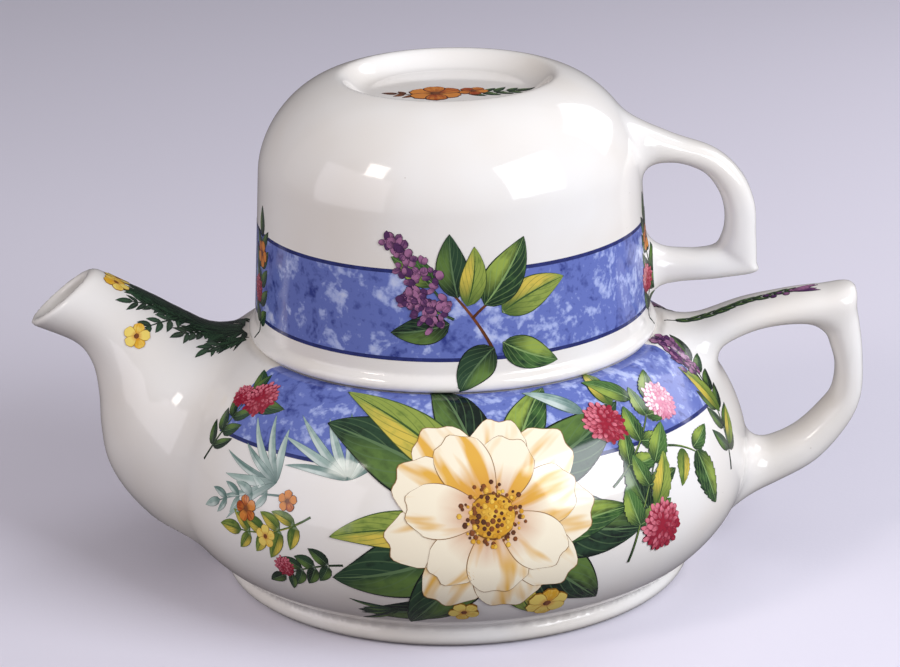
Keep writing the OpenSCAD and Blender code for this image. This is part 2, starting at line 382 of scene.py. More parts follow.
class SkinMaker:
    """Wraps a form in an even net of four-cornered faces that lies on its surface."""

    FIRST_ROUNDS = 2
    RELAX_ROUNDS = 4
    RELAX_SHARE = 0.5
    PAD_FACES = 3
    CORNERS = [(i, j, k) for i in (0, 1) for j in (0, 1) for k in (0, 1)]
    ROUND_EDGE = ((-1, -1), (0, -1), (0, 0), (-1, 0))

    def __init__(self, form: Field, box: Sequence[Sequence[float]], step: float) -> None:
        """Keeps the form and a grid round the box that holds it.

        Args:
            form: The signed distance.
            box: The lowest and the highest corner of its solid, in metres.
            step: The size of a face.
        """
        pad = self.PAD_FACES * step
        self.form = form
        self.low = np.array(box[0]) / MM - pad
        self.step = step
        self.count = np.ceil((np.array(box[1]) / MM + pad - self.low) / step).astype(int) + 1

    def make(self) -> tuple[Array, Array, Array]:
        """Nets the form, evens the net out and settles it on the surface.

        Returns:
            The points, the four-cornered faces and the way the surface faces at each point.
        """
        points, quads = self._net()
        pairs = np.concatenate([quads[:, [0, 1]], quads[:, [1, 2]], quads[:, [2, 3]], quads[:, [3, 0]]])
        both = np.concatenate([pairs, pairs[:, ::-1]])
        here, there = both[:, 0], both[:, 1]
        share = np.bincount(here, minlength=len(points))[:, None]
        points = settle(self.form, points, self.FIRST_ROUNDS)
        for _ in range(self.RELAX_ROUNDS):
            mean = np.stack([np.bincount(here, points[there, c], len(points)) for c in range(3)], 1) / share
            points = points + self.RELAX_SHARE * (mean - points)
            points = settle(self.form, points, 1)
        points = settle(self.form, points, 1)
        return points, quads, outward(self.form, points)

    def _net(self) -> tuple[Array, Array]:
        """Places a point in each cell that the surface passes and joins the points of neighbours."""
        value = self._samples()
        nx, ny, nz = self.count - 1
        corner = {c: value[c[0] : c[0] + nx, c[1] : c[1] + ny, c[2] : c[2] + nz] for c in self.CORNERS}
        within = sum((v < 0).astype(int) for v in corner.values())
        active = (within > 0) & (within < len(self.CORNERS))
        number = np.full(active.shape, -1)
        number[active] = np.arange(active.sum())
        return self._points(corner, active), self._quads(value < 0, number)

    def _samples(self) -> Array:
        """The form's distance at each place of the grid."""
        axes = [self.low[c] + self.step * np.arange(self.count[c]) for c in range(3)]
        y, z = np.meshgrid(axes[1], axes[2], indexing="ij")
        value = np.empty(self.count)
        for i, x in enumerate(axes[0]):
            layer = np.stack([np.full(y.size, x), y.ravel(), z.ravel()], 1)
            value[i] = self.form(layer).reshape(y.shape)
        return value

    def _points(self, corner: dict[tuple, Array], active: Array) -> Array:
        """The middle of the cuts through each active cell's edges.

        Args:
            corner: The distances at each of the cells' eight corners.
            active: Which cells the surface passes.

        Returns:
            One point for each active cell.
        """
        cells = np.argwhere(active)
        total = np.zeros((len(cells), 3))
        hits = np.zeros(len(cells))
        for a in self.CORNERS:
            for axis in range(3):
                if a[axis]:
                    continue
                b = tuple(1 if c == axis else a[c] for c in range(3))
                va, vb = corner[a][active], corner[b][active]
                cut = (va < 0) != (vb < 0)
                t = np.where(cut, va / np.where(cut, va - vb, 1), 0)
                place = np.tile(np.asarray(a, float), (len(cells), 1))
                place[:, axis] += t
                total += place * cut[:, None]
                hits += cut
        return self.low + (cells + total / hits[:, None]) * self.step

    def _quads(self, inside: Array, number: Array) -> Array:
        """Joins the points of the four cells round each grid edge that the surface cuts.

        Args:
            inside: Which places of the grid lie inside the form.
            number: The number of each cell's point.

        Returns:
            The faces, turned outwards.
        """
        quads = []
        for axis in range(3):
            u, v = [c for c in range(3) if c != axis]
            first = np.take(inside, np.arange(self.count[axis] - 1), axis)
            second = np.take(inside, np.arange(1, self.count[axis]), axis)
            edges = np.argwhere(first != second)
            edges = edges[(edges[:, u] > 0) & (edges[:, v] > 0)]
            edges = edges[(edges[:, u] < self.count[u] - 1) & (edges[:, v] < self.count[v] - 1)]
            ring = []
            for du, dv in self.ROUND_EDGE:
                cell = edges.copy()
                cell[:, u] += du
                cell[:, v] += dv
                ring.append(number[tuple(cell.T)])
            ring = np.stack(ring, 1)
            agrees = inside[tuple(edges.T)] ^ (axis == 1)
            quads.append(np.where(agrees[:, None], ring, ring[:, ::-1]))
        return np.concatenate(quads)


def mesh_of(name: str, points: Array, faces: Array, normals: Array) -> Mesh:
    """Makes a mesh from points in millimetres and faces that all have as many corners.

    Args:
        name: The mesh's name.
        points: The points.
        faces: The faces, one row each.
        normals: The way the surface faces at each point.

    Returns:
        The mesh, shaded smooth.
    """
    mesh = bpy.data.meshes.new(name)
    corners = faces.shape[1]
    mesh.vertices.add(len(points))
    mesh.vertices.foreach_set("co", (points * MM).astype(np.float32).ravel())
    mesh.loops.add(faces.size)
    mesh.loops.foreach_set("vertex_index", faces.astype(np.int32).ravel())
    mesh.polygons.add(len(faces))
    mesh.polygons.foreach_set("loop_start", np.arange(0, faces.size, corners, dtype=np.int32))
    mesh.polygons.foreach_set("use_smooth", np.ones(len(faces), bool))
    mesh.update(calc_edges=True)
    mesh.validate()
    mesh.normals_split_custom_set_from_vertices([tuple(n) for n in normals])
    return mesh


def link(name: str, mesh: Mesh, material: Material) -> Piece:
    """Adds an object of the part to the scene, riding on the one body."""
    piece = bpy.data.objects.new(name, mesh)
    bpy.context.scene.collection.objects.link(piece)
    mesh.materials.append(material)
    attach(piece, BODY)
    return piece


def skin_piece(name: str, maker: SkinMaker, glaze: Material) -> Piece:
    """Adds the glazed skin of a form to the scene.

    Args:
        name: The piece's name.
        maker: What wraps the form.
        glaze: The porcelain.

    Returns:
        The piece.
    """
    points, faces, normals = maker.make()
    log.info("%s: %d faces", name, len(faces))
    return link(name, mesh_of(name, points, faces, normals), glaze)


# Materials

COORDS = "ShaderNodeTexCoord"
NOISE = "ShaderNodeTexNoise"
MATH = "ShaderNodeMath"
RANGE = "ShaderNodeMapRange"
RAMP = "ShaderNodeValToRGB"
MIX = "ShaderNodeMix"
COLOURS = {"data_type": "RGBA"}
NUMBERS = {"data_type": "FLOAT"}
TIMES = {"operation": "MULTIPLY"}
TIMES_PLUS = {"operation": "MULTIPLY_ADD"}
# A colour mix's sockets: the colour below, the one laid above it, and the result
BELOW, ABOVE, MIXED = 6, 7, 2


def add_node(tree: Tree, kind: str, settings: dict | None = None, links: dict | None = None) -> Node:
    """Adds a node with its settings and links.

    Args:
        tree: The node tree.
        kind: The node's type.
        settings: Values of its attributes and, by socket name or number, of its inputs. A ramp's stops are
            places from 0 to 1 with their hex colours.
        links: Output sockets, or nodes for their first output, by the name or number of the input that each
            goes to.

    Returns:
        The node.
    """
    node = tree.nodes.new(kind)
    for key, value in (settings or {}).items():
        if key == "stops":
            stops = node.color_ramp.elements
            while len(stops) < len(value):
                stops.new(0.5)
            for stop, place in zip(stops, sorted(value)):
                stop.position = place
                stop.color = linear(value[place])
        elif isinstance(key, str) and hasattr(node, key):
            setattr(node, key, value)
        else:
            node.inputs[key].default_value = value
    for key, source in (links or {}).items():
        socket = source.outputs[0] if isinstance(source, Node) else source
        tree.links.new(socket, node.inputs[key])
    return node


def start_material(name: str) -> tuple[Material, Tree, Node]:
    """Starts a material.

    Args:
        name: The finish.

    Returns:
        The material, its node tree and its shader.
    """
    made = bpy.data.materials.new(name)
    made.use_nodes = True
    return made, made.node_tree, made.node_tree.nodes["Principled BSDF"]


@dataclass(frozen=True)
class PorcelainGlaze:
    """Glazed porcelain: slip-cast white clay under a clear, glassy glaze that was fired glossy.

    The eye sees a soft white body through a smooth glass skin, with faint waves where the glaze ran, and a
    bare, matt ring where the piece stood in the kiln.
    """

    name: str = "glazed porcelain"
    white: str = "#f3f0ec"
    warm: str = "#eee8e0"
    bisque: str = "#e3dccf"
    speck: str = "#a89b8b"
    ior: float = 1.5
    roughness: float = 0.09
    bisque_roughness: float = 0.62
    wave_mm: float = 14.0
    wave_height_mm: float = 0.012
    wave_detail: float = 1.5
    cloud_mm: float = 30.0
    cloud_detail: float = 2.0
    warm_to: float = 0.35
    white_from: float = 0.62
    speck_mm: float = 3.2
    speck_share: float = 0.035
    left_out: float = 0.93
    bare_below_mm: float = 0.5

    def material(self) -> Material:
        """Builds the material."""
        made, tree, shader = start_material(self.name)
        place = add_node(tree, COORDS).outputs["Object"]
        bare = self.bare(tree, place)
        glazed = self.glazed(tree, place)
        colour = add_node(tree, MIX, COLOURS | {ABOVE: linear(self.bisque)}, {0: bare, BELOW: glazed})
        rough = add_node(
            tree, RANGE, {"To Min": self.roughness, "To Max": self.bisque_roughness}, {"Value": bare}
        )
        waves = {"Scale": 1 / (self.wave_mm * MM), "Detail": self.wave_detail}
        wave = add_node(tree, NOISE, waves, {"Vector": place})
        depth = {"Strength": 1.0, "Distance": self.wave_height_mm * MM}
        bump = add_node(tree, "ShaderNodeBump", depth, {"Height": wave})
        tree.links.new(colour.outputs[MIXED], shader.inputs["Base Color"])
        tree.links.new(rough.outputs[0], shader.inputs["Roughness"])
        tree.links.new(bump.outputs[0], shader.inputs["Normal"])
        shader.inputs["IOR"].default_value = self.ior
        return made

    def bare(self, tree: Tree, place: Socket) -> Node:
        """Where the piece stands bare on its foot."""
        height = add_node(tree, "ShaderNodeSeparateXYZ", links={0: place}).outputs[2]
        return add_node(tree, MATH, {"operation": "LESS_THAN", 1: self.bare_below_mm * MM}, {0: height})

    def glazed(self, tree: Tree, place: Socket) -> Socket:
        """The colour of the glazed clay: barely clouded white with a few faint specks.

        Args:
            tree: The node tree.
            place: Where on the piece a point lies.

        Returns:
            The colour.
        """
        clouds = {"Scale": 1 / (self.cloud_mm * MM), "Detail": self.cloud_detail}
        cloud = add_node(tree, NOISE, clouds, {"Vector": place})
        stops = {self.warm_to: self.warm, self.white_from: self.white}
        tint = add_node(tree, RAMP, {"stops": stops}, {0: cloud})
        spot = add_node(tree, "ShaderNodeTexVoronoi", {"Scale": 1 / (self.speck_mm * MM)}, {"Vector": place})
        position = {"Vector": spot.outputs["Position"]}
        drawn = add_node(tree, "ShaderNodeTexWhiteNoise", {"noise_dimensions": "3D"}, position)
        rare = add_node(tree, MATH, {"operation": "GREATER_THAN", 1: self.left_out}, {0: drawn})
        small = add_node(tree, MATH, {"operation": "LESS_THAN", 1: self.speck_share}, {0: spot})
        dot = add_node(tree, MATH, TIMES, {0: rare, 1: small})
        return add_node(
            tree, MIX, COLOURS | {ABOVE: linear(self.speck)}, {0: dot, BELOW: tint.outputs[0]}
        ).outputs[MIXED]


@dataclass(frozen=True)
class SpongedBand:
    """Blue enamel dabbed on with a sponge and fired on: watery blotches, with paler pools among dark ones."""

    name: str = "sponged blue enamel"
    deep: str = "#323e88"
    mid: str = "#6877be"
    pale: str = "#a8b5e6"
    pool: str = "#d2d9f2"
    deep_to: float = 0.37
    mid_from: float = 0.46
    mid_to: float = 0.52
    pale_at: float = 0.58
    pool_from: float = 0.68
    sizes_mm: Triple = (9.0, 4.2, 1.3)
    details: Triple = (3.0, 3.0, 2.0)
    twists: Triple = (0.9, 0.4, 0.0)
    raggedness: float = 0.6
    patch_share: float = 0.42
    grain_share: float = 0.16
    ior: float = 1.5
    roughness: float = 0.1

    def material(self) -> Material:
        """Builds the material."""
        made, tree, shader = start_material(self.name)
        place = add_node(tree, COORDS).outputs["Object"]
        noises = []
        for size, detail, twist in zip(self.sizes_mm, self.details, self.twists):
            look = {"Scale": 1 / (size * MM), "Detail": detail, "Distortion": twist}
            noises.append(add_node(tree, NOISE, look | {"Roughness": self.raggedness}, {"Vector": place}))
        coarse = add_node(tree, MIX, NUMBERS | {0: self.patch_share}, {2: noises[0], 3: noises[1]})
        mixed = add_node(tree, MIX, NUMBERS | {0: self.grain_share}, {2: coarse, 3: noises[2]})
        stops = {
            self.deep_to: self.deep,
            self.mid_from: self.mid,
            self.mid_to: self.mid,
            self.pale_at: self.pale,
            self.pool_from: self.pool,
        }
        colour = add_node(tree, RAMP, {"stops": stops}, {0: mixed})
        tree.links.new(colour.outputs[0], shader.inputs["Base Color"])
        shader.inputs["Roughness"].default_value = self.roughness
        shader.inputs["IOR"].default_value = self.ior
        return made


@dataclass(frozen=True)
class StrokeSockets:
    """What an ink knows of each point of a stroke.

    Where it lies across, along and off the middle, the stroke's tone, its brush streaks, and those streaks
    blended with the mottling of the colour.
    """

    tree: Tree
    across: Socket
    along: Socket
    side: Node
    tone: Socket
    streak: Node
    cloud: Node


@dataclass(frozen=True)
class PaintedInk:
    """A ceramic colour of the print: painted strokes, fired on, with a darker rim where the colour pooled.

    The strokes' own coordinates run across from 0 to 1 and along from the base, 0, to the tip, 1. Reaches,
    widths and pitches of the drawing are shares of those.
    """

    name: str
    base: str
    light: str
    root: str
    rim: str
    rim_width: float = 0.08
    vein: str | None = None
    vein_width: float = 0.05
    side_vein_slant: float = 1.1
    side_vein_pitch: float = 0.09
    side_vein_width: float = 0.013
    side_vein_share: float = 0.45
    streak_share: float = 0.5
    streak_count: float = 7.0
    streak_rate: float = 0.9
    tone_shift: float = 37.0
    root_reach: float = 0.45
    root_full: float = 0.02
    root_strength: float = 1.7
    tone_share: float = 0.5
    tone_from: float = 0.38
    tone_to: float = 0.6
    tip_paling: float = 0.0
    glow: str | None = None
    glow_across: Pair = (0.42, 0.66)
    glow_range: Pair = (0.12, 0.5)
    mottle_mm: float = 2.4
    mottle_detail: float = 3.0
    ior: float = 1.5
    roughness: float = 0.1

    def material(self) -> Material:
        """Builds the material."""
        made, tree, shader = start_material(self.name)
        at = self.sockets(tree)
        colour = self.wash(at).outputs[0]
        layers = (
            (self.glow, self.lit_half),
            (self.root, self.streaked_root),
            (self.vein, self.veins),
            (self.rim, self.pooled_rim),
        )
        for ink, share_of in layers:
            if ink:
                links = {0: share_of(at), BELOW: colour}
                colour = add_node(tree, MIX, COLOURS | {ABOVE: linear(ink)}, links).outputs[MIXED]
        tree.links.new(colour, shader.inputs["Base Color"])
        shader.inputs["Roughness"].default_value = self.roughness
        shader.inputs["IOR"].default_value = self.ior
        return made

    def sockets(self, tree: Tree) -> StrokeSockets:
        """Reads the stroke's coordinates and its tone, and draws its streaks and its mottling."""
        coords = add_node(tree, COORDS)
        stroke = add_node(tree, "ShaderNodeSeparateXYZ", links={0: coords.outputs["UV"]})
        across, along = stroke.outputs[0], stroke.outputs[1]
        centred = add_node(tree, MATH, {"operation": "SUBTRACT", 1: 0.5}, {0: across})
        side = add_node(tree, MATH, {"operation": "ABSOLUTE"}, {0: centred})
        tone = add_node(tree, "ShaderNodeAttribute", {"attribute_name": TONE}).outputs["Fac"]
        count = add_node(tree, MATH, TIMES | {1: self.streak_count}, {0: across})
        shift = TIMES_PLUS | {1: self.tone_shift}
        offset = add_node(tree, MATH, shift, {0: tone, 2: count})
        slow = add_node(tree, MATH, TIMES | {1: self.streak_rate}, {0: along})
        place = add_node(tree, "ShaderNodeCombineXYZ", links={0: offset, 1: slow})
        streak = add_node(tree, NOISE, {"Scale": 1.0, "Detail": 2.0}, {"Vector": place})
        grain = {"Scale": 1 / (self.mottle_mm * MM), "Detail": self.mottle_detail}
        mottle = add_node(tree, NOISE, grain, {"Vector": coords.outputs["Object"]})
        cloud = add_node(tree, MIX, NUMBERS | {0: self.streak_share}, {2: mottle, 3: streak})
        return StrokeSockets(tree, across, along, side, tone, streak, cloud)

    def wash(self, at: StrokeSockets) -> Node:
        """The ink's own two colours, lighter on light strokes and towards the tip."""
        lift = TIMES_PLUS | {1: self.tone_share, 2: -self.tone_share / 2}
        lifted = add_node(at.tree, MATH, lift, {0: at.tone})
        paling = TIMES_PLUS | {1: self.tip_paling}
        paled = add_node(at.tree, MATH, paling, {0: at.along, 2: lifted})
        total = add_node(at.tree, MATH, {"operation": "ADD"}, {0: at.cloud, 1: paled})
        stops = {self.tone_from: self.base, self.tone_to: self.light}
        return add_node(at.tree, RAMP, {"stops": stops}, {0: total})

    def lit_half(self, at: StrokeSockets) -> Node:
        """How much of a lighter cloud lies on one half of the stroke."""
        low, high = self.glow_across
        half = add_node(at.tree, RANGE, {"From Min": low, "From Max": high}, {"Value": at.across})
        swell = add_node(at.tree, MATH, TIMES | {1: math.pi}, {0: at.along})
        middle = add_node(at.tree, MATH, {"operation": "SINE"}, {0: swell})
        shape = add_node(at.tree, MATH, TIMES, {0: half, 1: middle})
        cloudy = add_node(at.tree, MATH, TIMES, {0: shape, 1: at.cloud})
        low, high = self.glow_range
        return add_node(at.tree, RANGE, {"From Min": low, "From Max": high}, {"Value": cloudy})

    def streaked_root(self, at: StrokeSockets) -> Node:
        """How much of the root's colour the brush drew up from the stroke's base."""
        reach = {"From Min": self.root_reach, "From Max": self.root_full, "To Min": 0.0, "To Max": 1.0}
        near = add_node(at.tree, RANGE, reach, {"Value": at.along})
        drawn = add_node(at.tree, MATH, TIMES, {0: near, 1: at.streak})
        strength = TIMES | {1: self.root_strength, "use_clamp": True}
        return add_node(at.tree, MATH, strength, {0: drawn})

    def veins(self, at: StrokeSockets) -> Node:
        """Where a rib runs along the middle, and faint veins slant out from it."""
        rib = add_node(at.tree, MATH, {"operation": "LESS_THAN", 1: self.vein_width / 2}, {0: at.side})
        lean = TIMES_PLUS | {1: -self.side_vein_slant}
        slant = add_node(at.tree, MATH, lean, {0: at.side, 2: at.along})
        comb = add_node(at.tree, MATH, {"operation": "PINGPONG", 1: self.side_vein_pitch}, {0: slant})
        thin = add_node(at.tree, MATH, {"operation": "LESS_THAN", 1: self.side_vein_width}, {0: comb})
        faint = add_node(at.tree, MATH, TIMES | {1: self.side_vein_share}, {0: thin})
        return add_node(at.tree, MATH, {"operation": "MAXIMUM"}, {0: rib, 1: faint})

    def pooled_rim(self, at: StrokeSockets) -> Node:
        """Where the colour pooled and darkened: along the edges and at the tip."""
        width = self.rim_width
        edges = {"From Min": 0.5 - width / 2, "From Max": 0.5 - width / 4}
        edge = add_node(at.tree, RANGE, edges, {"Value": at.side})
        end = {"From Min": 1 - width / 3, "From Max": 1 - width / 8}
        tip = add_node(at.tree, RANGE, end, {"Value": at.along})
        return add_node(at.tree, MATH, {"operation": "MAXIMUM"}, {0: edge, 1: tip})


# The teapot


@dataclass
class Teapot:
    """The slip-cast pot with its spout, handle, foot ring, seat and collar."""

    pot_r: float = 72.0
    pot_h: float = 60.0
    belly_z: float = 28.0
    wall: float = 4.0
    foot_r: float = 58.0
    foot_h: float = 5.0
    foot_recess: float = 2.5
    foot_ring_w: float = 5.0
    foot_groove: float = 1.8
    mouth_r: float = 36.0
    ledge_w: float = 5.0
    ledge_h: float = 2.0
    collar_h: float = 4.0
    collar_r: float = 44.6
    seat_r: float = 50.5
    seat_clearance: float = 0.3
    seat_slope: Pair = (3.0, 5.0)
    seat_round: float = 1.2
    spout_reach: float = 29.0
    spout_above: float = 16.0
    spout_root_d: float = 46.0
    spout_mouth_d: float = 19.6
    spout_wall: float = 3.0
    spout_fillet: float = 9.0
    spout_fade_z: float = 15.0
    spout_fade: float = 1.4
    handle_reach: float = 28.0
    handle_above: float = 8.6
    handle_t: float = 7.0
    handle_w: float = 13.0
    handle_fillet: float = 7.0
    rim_round: float = 1.6
    strainer_d: float = 4.6
    strainer_pitch: float = 8.0
    strainer_ring: int = 6
    strainer_rise: float = 3.0
    strainer_depth: float = 1.6
    foot_proud: float = 0.6
    foot_edge: float = 3.5
    foot_straight: float = 0.85
    lower_pull: Triple = (0.5, 0.17, 0.56)
    upper_pull: Triple = (0.38, 0.63, 0.19)
    floor_corner: Pair = (6.0, 3.0)
    inner_pull: float = 0.46
    inside_round: float = 0.8
    cut_past: float = 3.0
    mouth_past: float = 8.0
    seat_room: Pair = (1.0, 40.0)
    handle_power: float = 2.4
    softenings: int = 11
    face_mm: float = 1.16
    curve_steps: int = 24
    rib_steps: int = 16
    spout_stations: tuple[tuple[float, ...], ...] = (
        (-0.79, 0.33, 64, 0.85, 1.22),
        (-0.48, 0.385, 59, 1, 1.14),
        (-0.23, 0.465, 52, 1, 1.03),
        (-0.04, 0.56, 46.5, 0.88, 0.84),
        (0.09, 0.65, 45.5, 0.61, 0.61),
        (0.2, 0.73, 48, 0.32, 0.36),
        (0.335, 0.808, 51, 0.07, 0.14),
        (0.51, 0.865, 51, -0.04, 0.02),
        (0.8, 0.917, 38, 0.04, 0),
    )
    handle_stations: tuple[tuple[float, ...], ...] = (
        (-0.86, 0.765, 120, 1.3, 1.75),
        (-0.55, 0.79, 127, 1.55, 1.65),
        (-0.285, 0.846, 122, 1.1, 1.45),
        (0, 0.893, 108, 0.95, 1.35),
        (0.295, 0.917, 94, 1, 1.27),
        (0.58, 0.925, 68, 1.34, 1.2),
        (0.785, 0.913, 58, 1.96, 1.08),
        (0.835, 0.845, 51, 1.5, 1.02),
        (0.89, 0.72, 25, 1.02, 1),
        (0.875, 0.595, -6, 1, 1),
        (0.76, 0.505, -34, 1.14, 1.04),
        (0.525, 0.403, -53, 1.3, 1.12),
        (0.23, 0.34, -72, 1.42, 1.25),
        (-0.07, 0.303, -88, 1.75, 1.5),
        (-0.36, 0.285, -90, 2.1, 1.75),
    )

    def __post_init__(self) -> None:
        """Builds the forms that the pot is joined from."""
        self.outside = TurnedForm(self.outer_outline(), self.softenings)
        self.inside = TurnedForm(self.inner_outline())
        self.seat_space = TurnedForm(self.seat_outline())
        self.spout = RibTube(self.spout_ribs(0.0), mirrored=True)
        self.channel = RibTube(self.spout_ribs(self.spout_wall), mirrored=True)
        self.handle = RibTube(self.handle_ribs(), self.handle_power)
        mouth = self.spout_ribs(0.0)[-2]
        lean = math.radians(mouth[2])
        self.mouth_centre = np.array([-mouth[0], 0.0, mouth[1]])
        self.mouth_normal = np.array([-math.sin(lean), 0.0, -math.cos(lean)])

    def seat_outline(self) -> Array:
        """The room over the seat, which the spout and the handle leave free for the cup's lip."""
        room = self.seat_r + self.seat_clearance
        slope_r, slope_h = self.seat_slope
        lean, height = self.seat_room
        return np.array(
            [
                [self.collar_r, self.pot_h],
                [room, self.pot_h],
                [room + slope_r, self.pot_h + slope_h],
                [room + slope_r + lean, self.pot_h + height],
                [self.collar_r, self.pot_h + height],
            ]
        )

    def lower_curve(self) -> list[list[float]]:
        """Control points from the foot's neck out to the widest circle."""
        neck = self.foot_r - self.foot_groove
        rise = self.belly_z - self.foot_h
        out, low, high = self.lower_pull
        return [
            [neck, self.foot_h],
            [neck + (self.pot_r - neck) * out, self.foot_h + rise * low],
            [self.pot_r, self.foot_h + rise * high],
            [self.pot_r, self.belly_z],
        ]

    def upper_curve(self) -> list[list[float]]:
        """Control points of the shoulder, from the widest circle in to the seat."""
        rise = self.pot_h - self.belly_z
        low, out, high = self.upper_pull
        return [
            [self.pot_r, self.belly_z],
            [self.pot_r, self.belly_z + rise * low],
            [self.seat_r + (self.pot_r - self.seat_r) * out, self.pot_h - rise * high],
            [self.seat_r, self.pot_h],
        ]

    def outer_outline(self) -> Array:
        """The outside of the pot, without its spout and handle."""
        neck = self.foot_r - self.foot_groove
        foot_in = self.foot_r - self.foot_ring_w
        bead = [
            [self.foot_r - self.foot_edge, 0],
            [self.foot_r + self.foot_proud, 0],
            [self.foot_r + self.foot_proud, self.foot_h * self.foot_straight],
            [neck, self.foot_h],
        ]
        top = self.pot_h + self.ledge_h + self.collar_h
        return np.concatenate(
            [
                [[0, self.foot_recess], [foot_in - self.foot_recess, self.foot_recess], [foot_in, 0]],
                bezier(bead, self.curve_steps),
                bezier(self.lower_curve(), self.curve_steps),
                bezier(self.upper_curve(), self.curve_steps),
                [[self.collar_r, self.pot_h], [self.collar_r, top], [0, top]],
            ]
        )

    def inner_outline(self) -> Array:
        """The hollow of the pot, up through its mouth and its collar."""
        neck = self.foot_r - self.foot_groove
        floor = self.foot_recess + self.wall
        flat_in, corner_out = self.floor_corner
        lower = [
            [neck - self.wall - flat_in, floor],
            [neck + corner_out, floor],
            [self.pot_r - self.wall, self.belly_z - (self.belly_z - floor) * self.inner_pull],
            [self.pot_r - self.wall, self.belly_z],
        ]
        shoulder = bezier(self.upper_curve(), self.curve_steps)
        along = np.gradient(shoulder, axis=0)
        along /= np.linalg.norm(along, axis=1)[:, None]
        inner = shoulder - self.wall * np.stack([along[:, 1], -along[:, 0]], 1)
        ledge = self.pot_h + self.ledge_h
        gallery = self.mouth_r + self.ledge_w
        top = ledge + self.collar_h + self.cut_past
        return np.concatenate(
            [
                [[0, floor]],
                bezier(lower, self.curve_steps),
                inner,
                [[self.mouth_r, self.pot_h - self.wall], [self.mouth_r, ledge], [gallery, ledge]],
                [[gallery, top], [0, top]],
            ]
        )

    def spout_ribs(self, wall: float) -> Array:
        """The spout's ribs, thinner by a wall on each side, with one more past the mouth."""
        span = self.spout_root_d - self.spout_mouth_d
        ribs = smooth_run(self.spout_stations, self.rib_steps)
        ribs *= [self.spout_reach, self.pot_h + self.spout_above, -1, span, span]
        ribs += [self.pot_r, 0, 180, self.spout_mouth_d, self.spout_mouth_d]
        ribs[:, 3:] -= 2 * wall
        past = ribs[-1].copy()
        lean = math.radians(past[2])
        past[:2] += self.mouth_past * np.array([math.sin(lean), -math.cos(lean)])
        return np.vstack([ribs, past])

    def handle_ribs(self) -> Array:
        """The handle's ribs."""
        ribs = smooth_run(self.handle_stations, self.rib_steps)
        ribs *= [self.handle_reach, self.pot_h + self.handle_above, 1, self.handle_t, self.handle_w]
        return ribs + [self.pot_r, 0, 0, 0, 0]

    def form(self, points: Array) -> Array:
        """The signed distance to the whole pot."""
        pot = self.outside.distance(points)
        mouth = (points - self.mouth_centre) @ self.mouth_normal
        fade = self.spout_fade * np.maximum(self.spout_fade_z - points[:, 2], 0)
        spout = soft_max(self.spout.distance(points) + fade, mouth, self.rim_round)
        whole = soft_min(pot, spout, self.spout_fillet)
        whole = soft_min(whole, self.handle.distance(points), self.handle_fillet)
        whole = soft_max(whole, -self.seat_space.distance(points), self.seat_round)
        bore = np.maximum(self.channel.distance(points), -pot)
        whole = soft_max(whole, -bore, self.rim_round)
        whole = soft_max(whole, -self.inside.distance(points), self.inside_round)
        return np.maximum(whole, -self.strainer(points))

    def strainer(self, points: Array) -> Array:
        """The pierced holes through the wall inside the spout's root."""
        centre = self.belly_z + self.strainer_rise
        gap = np.hypot(points[:, 1], points[:, 2] - centre)
        for i in range(self.strainer_ring):
            turn = math.radians(360 * i / self.strainer_ring)
            y = self.strainer_pitch * math.cos(turn)
            z = centre + self.strainer_pitch * math.sin(turn)
            gap = np.minimum(gap, np.hypot(points[:, 1] - y, points[:, 2] - z))
        depth = np.abs(points[:, 0] + self.pot_r - self.wall) - self.strainer_depth * self.wall
        return np.maximum(gap - self.strainer_d / 2, depth)

    def build(self, glaze: Material) -> Piece:
        """Makes the pot's mesh and dresses it.

        Args:
            glaze: The porcelain.

        Returns:
            The piece; the teapot node is hidden in its place.
        """
        maker = SkinMaker(self.form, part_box("teapot"), self.face_mm)
        piece = skin_piece("teapot_porcelain", maker, glaze)
        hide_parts("teapot")
        return piece


# The cup


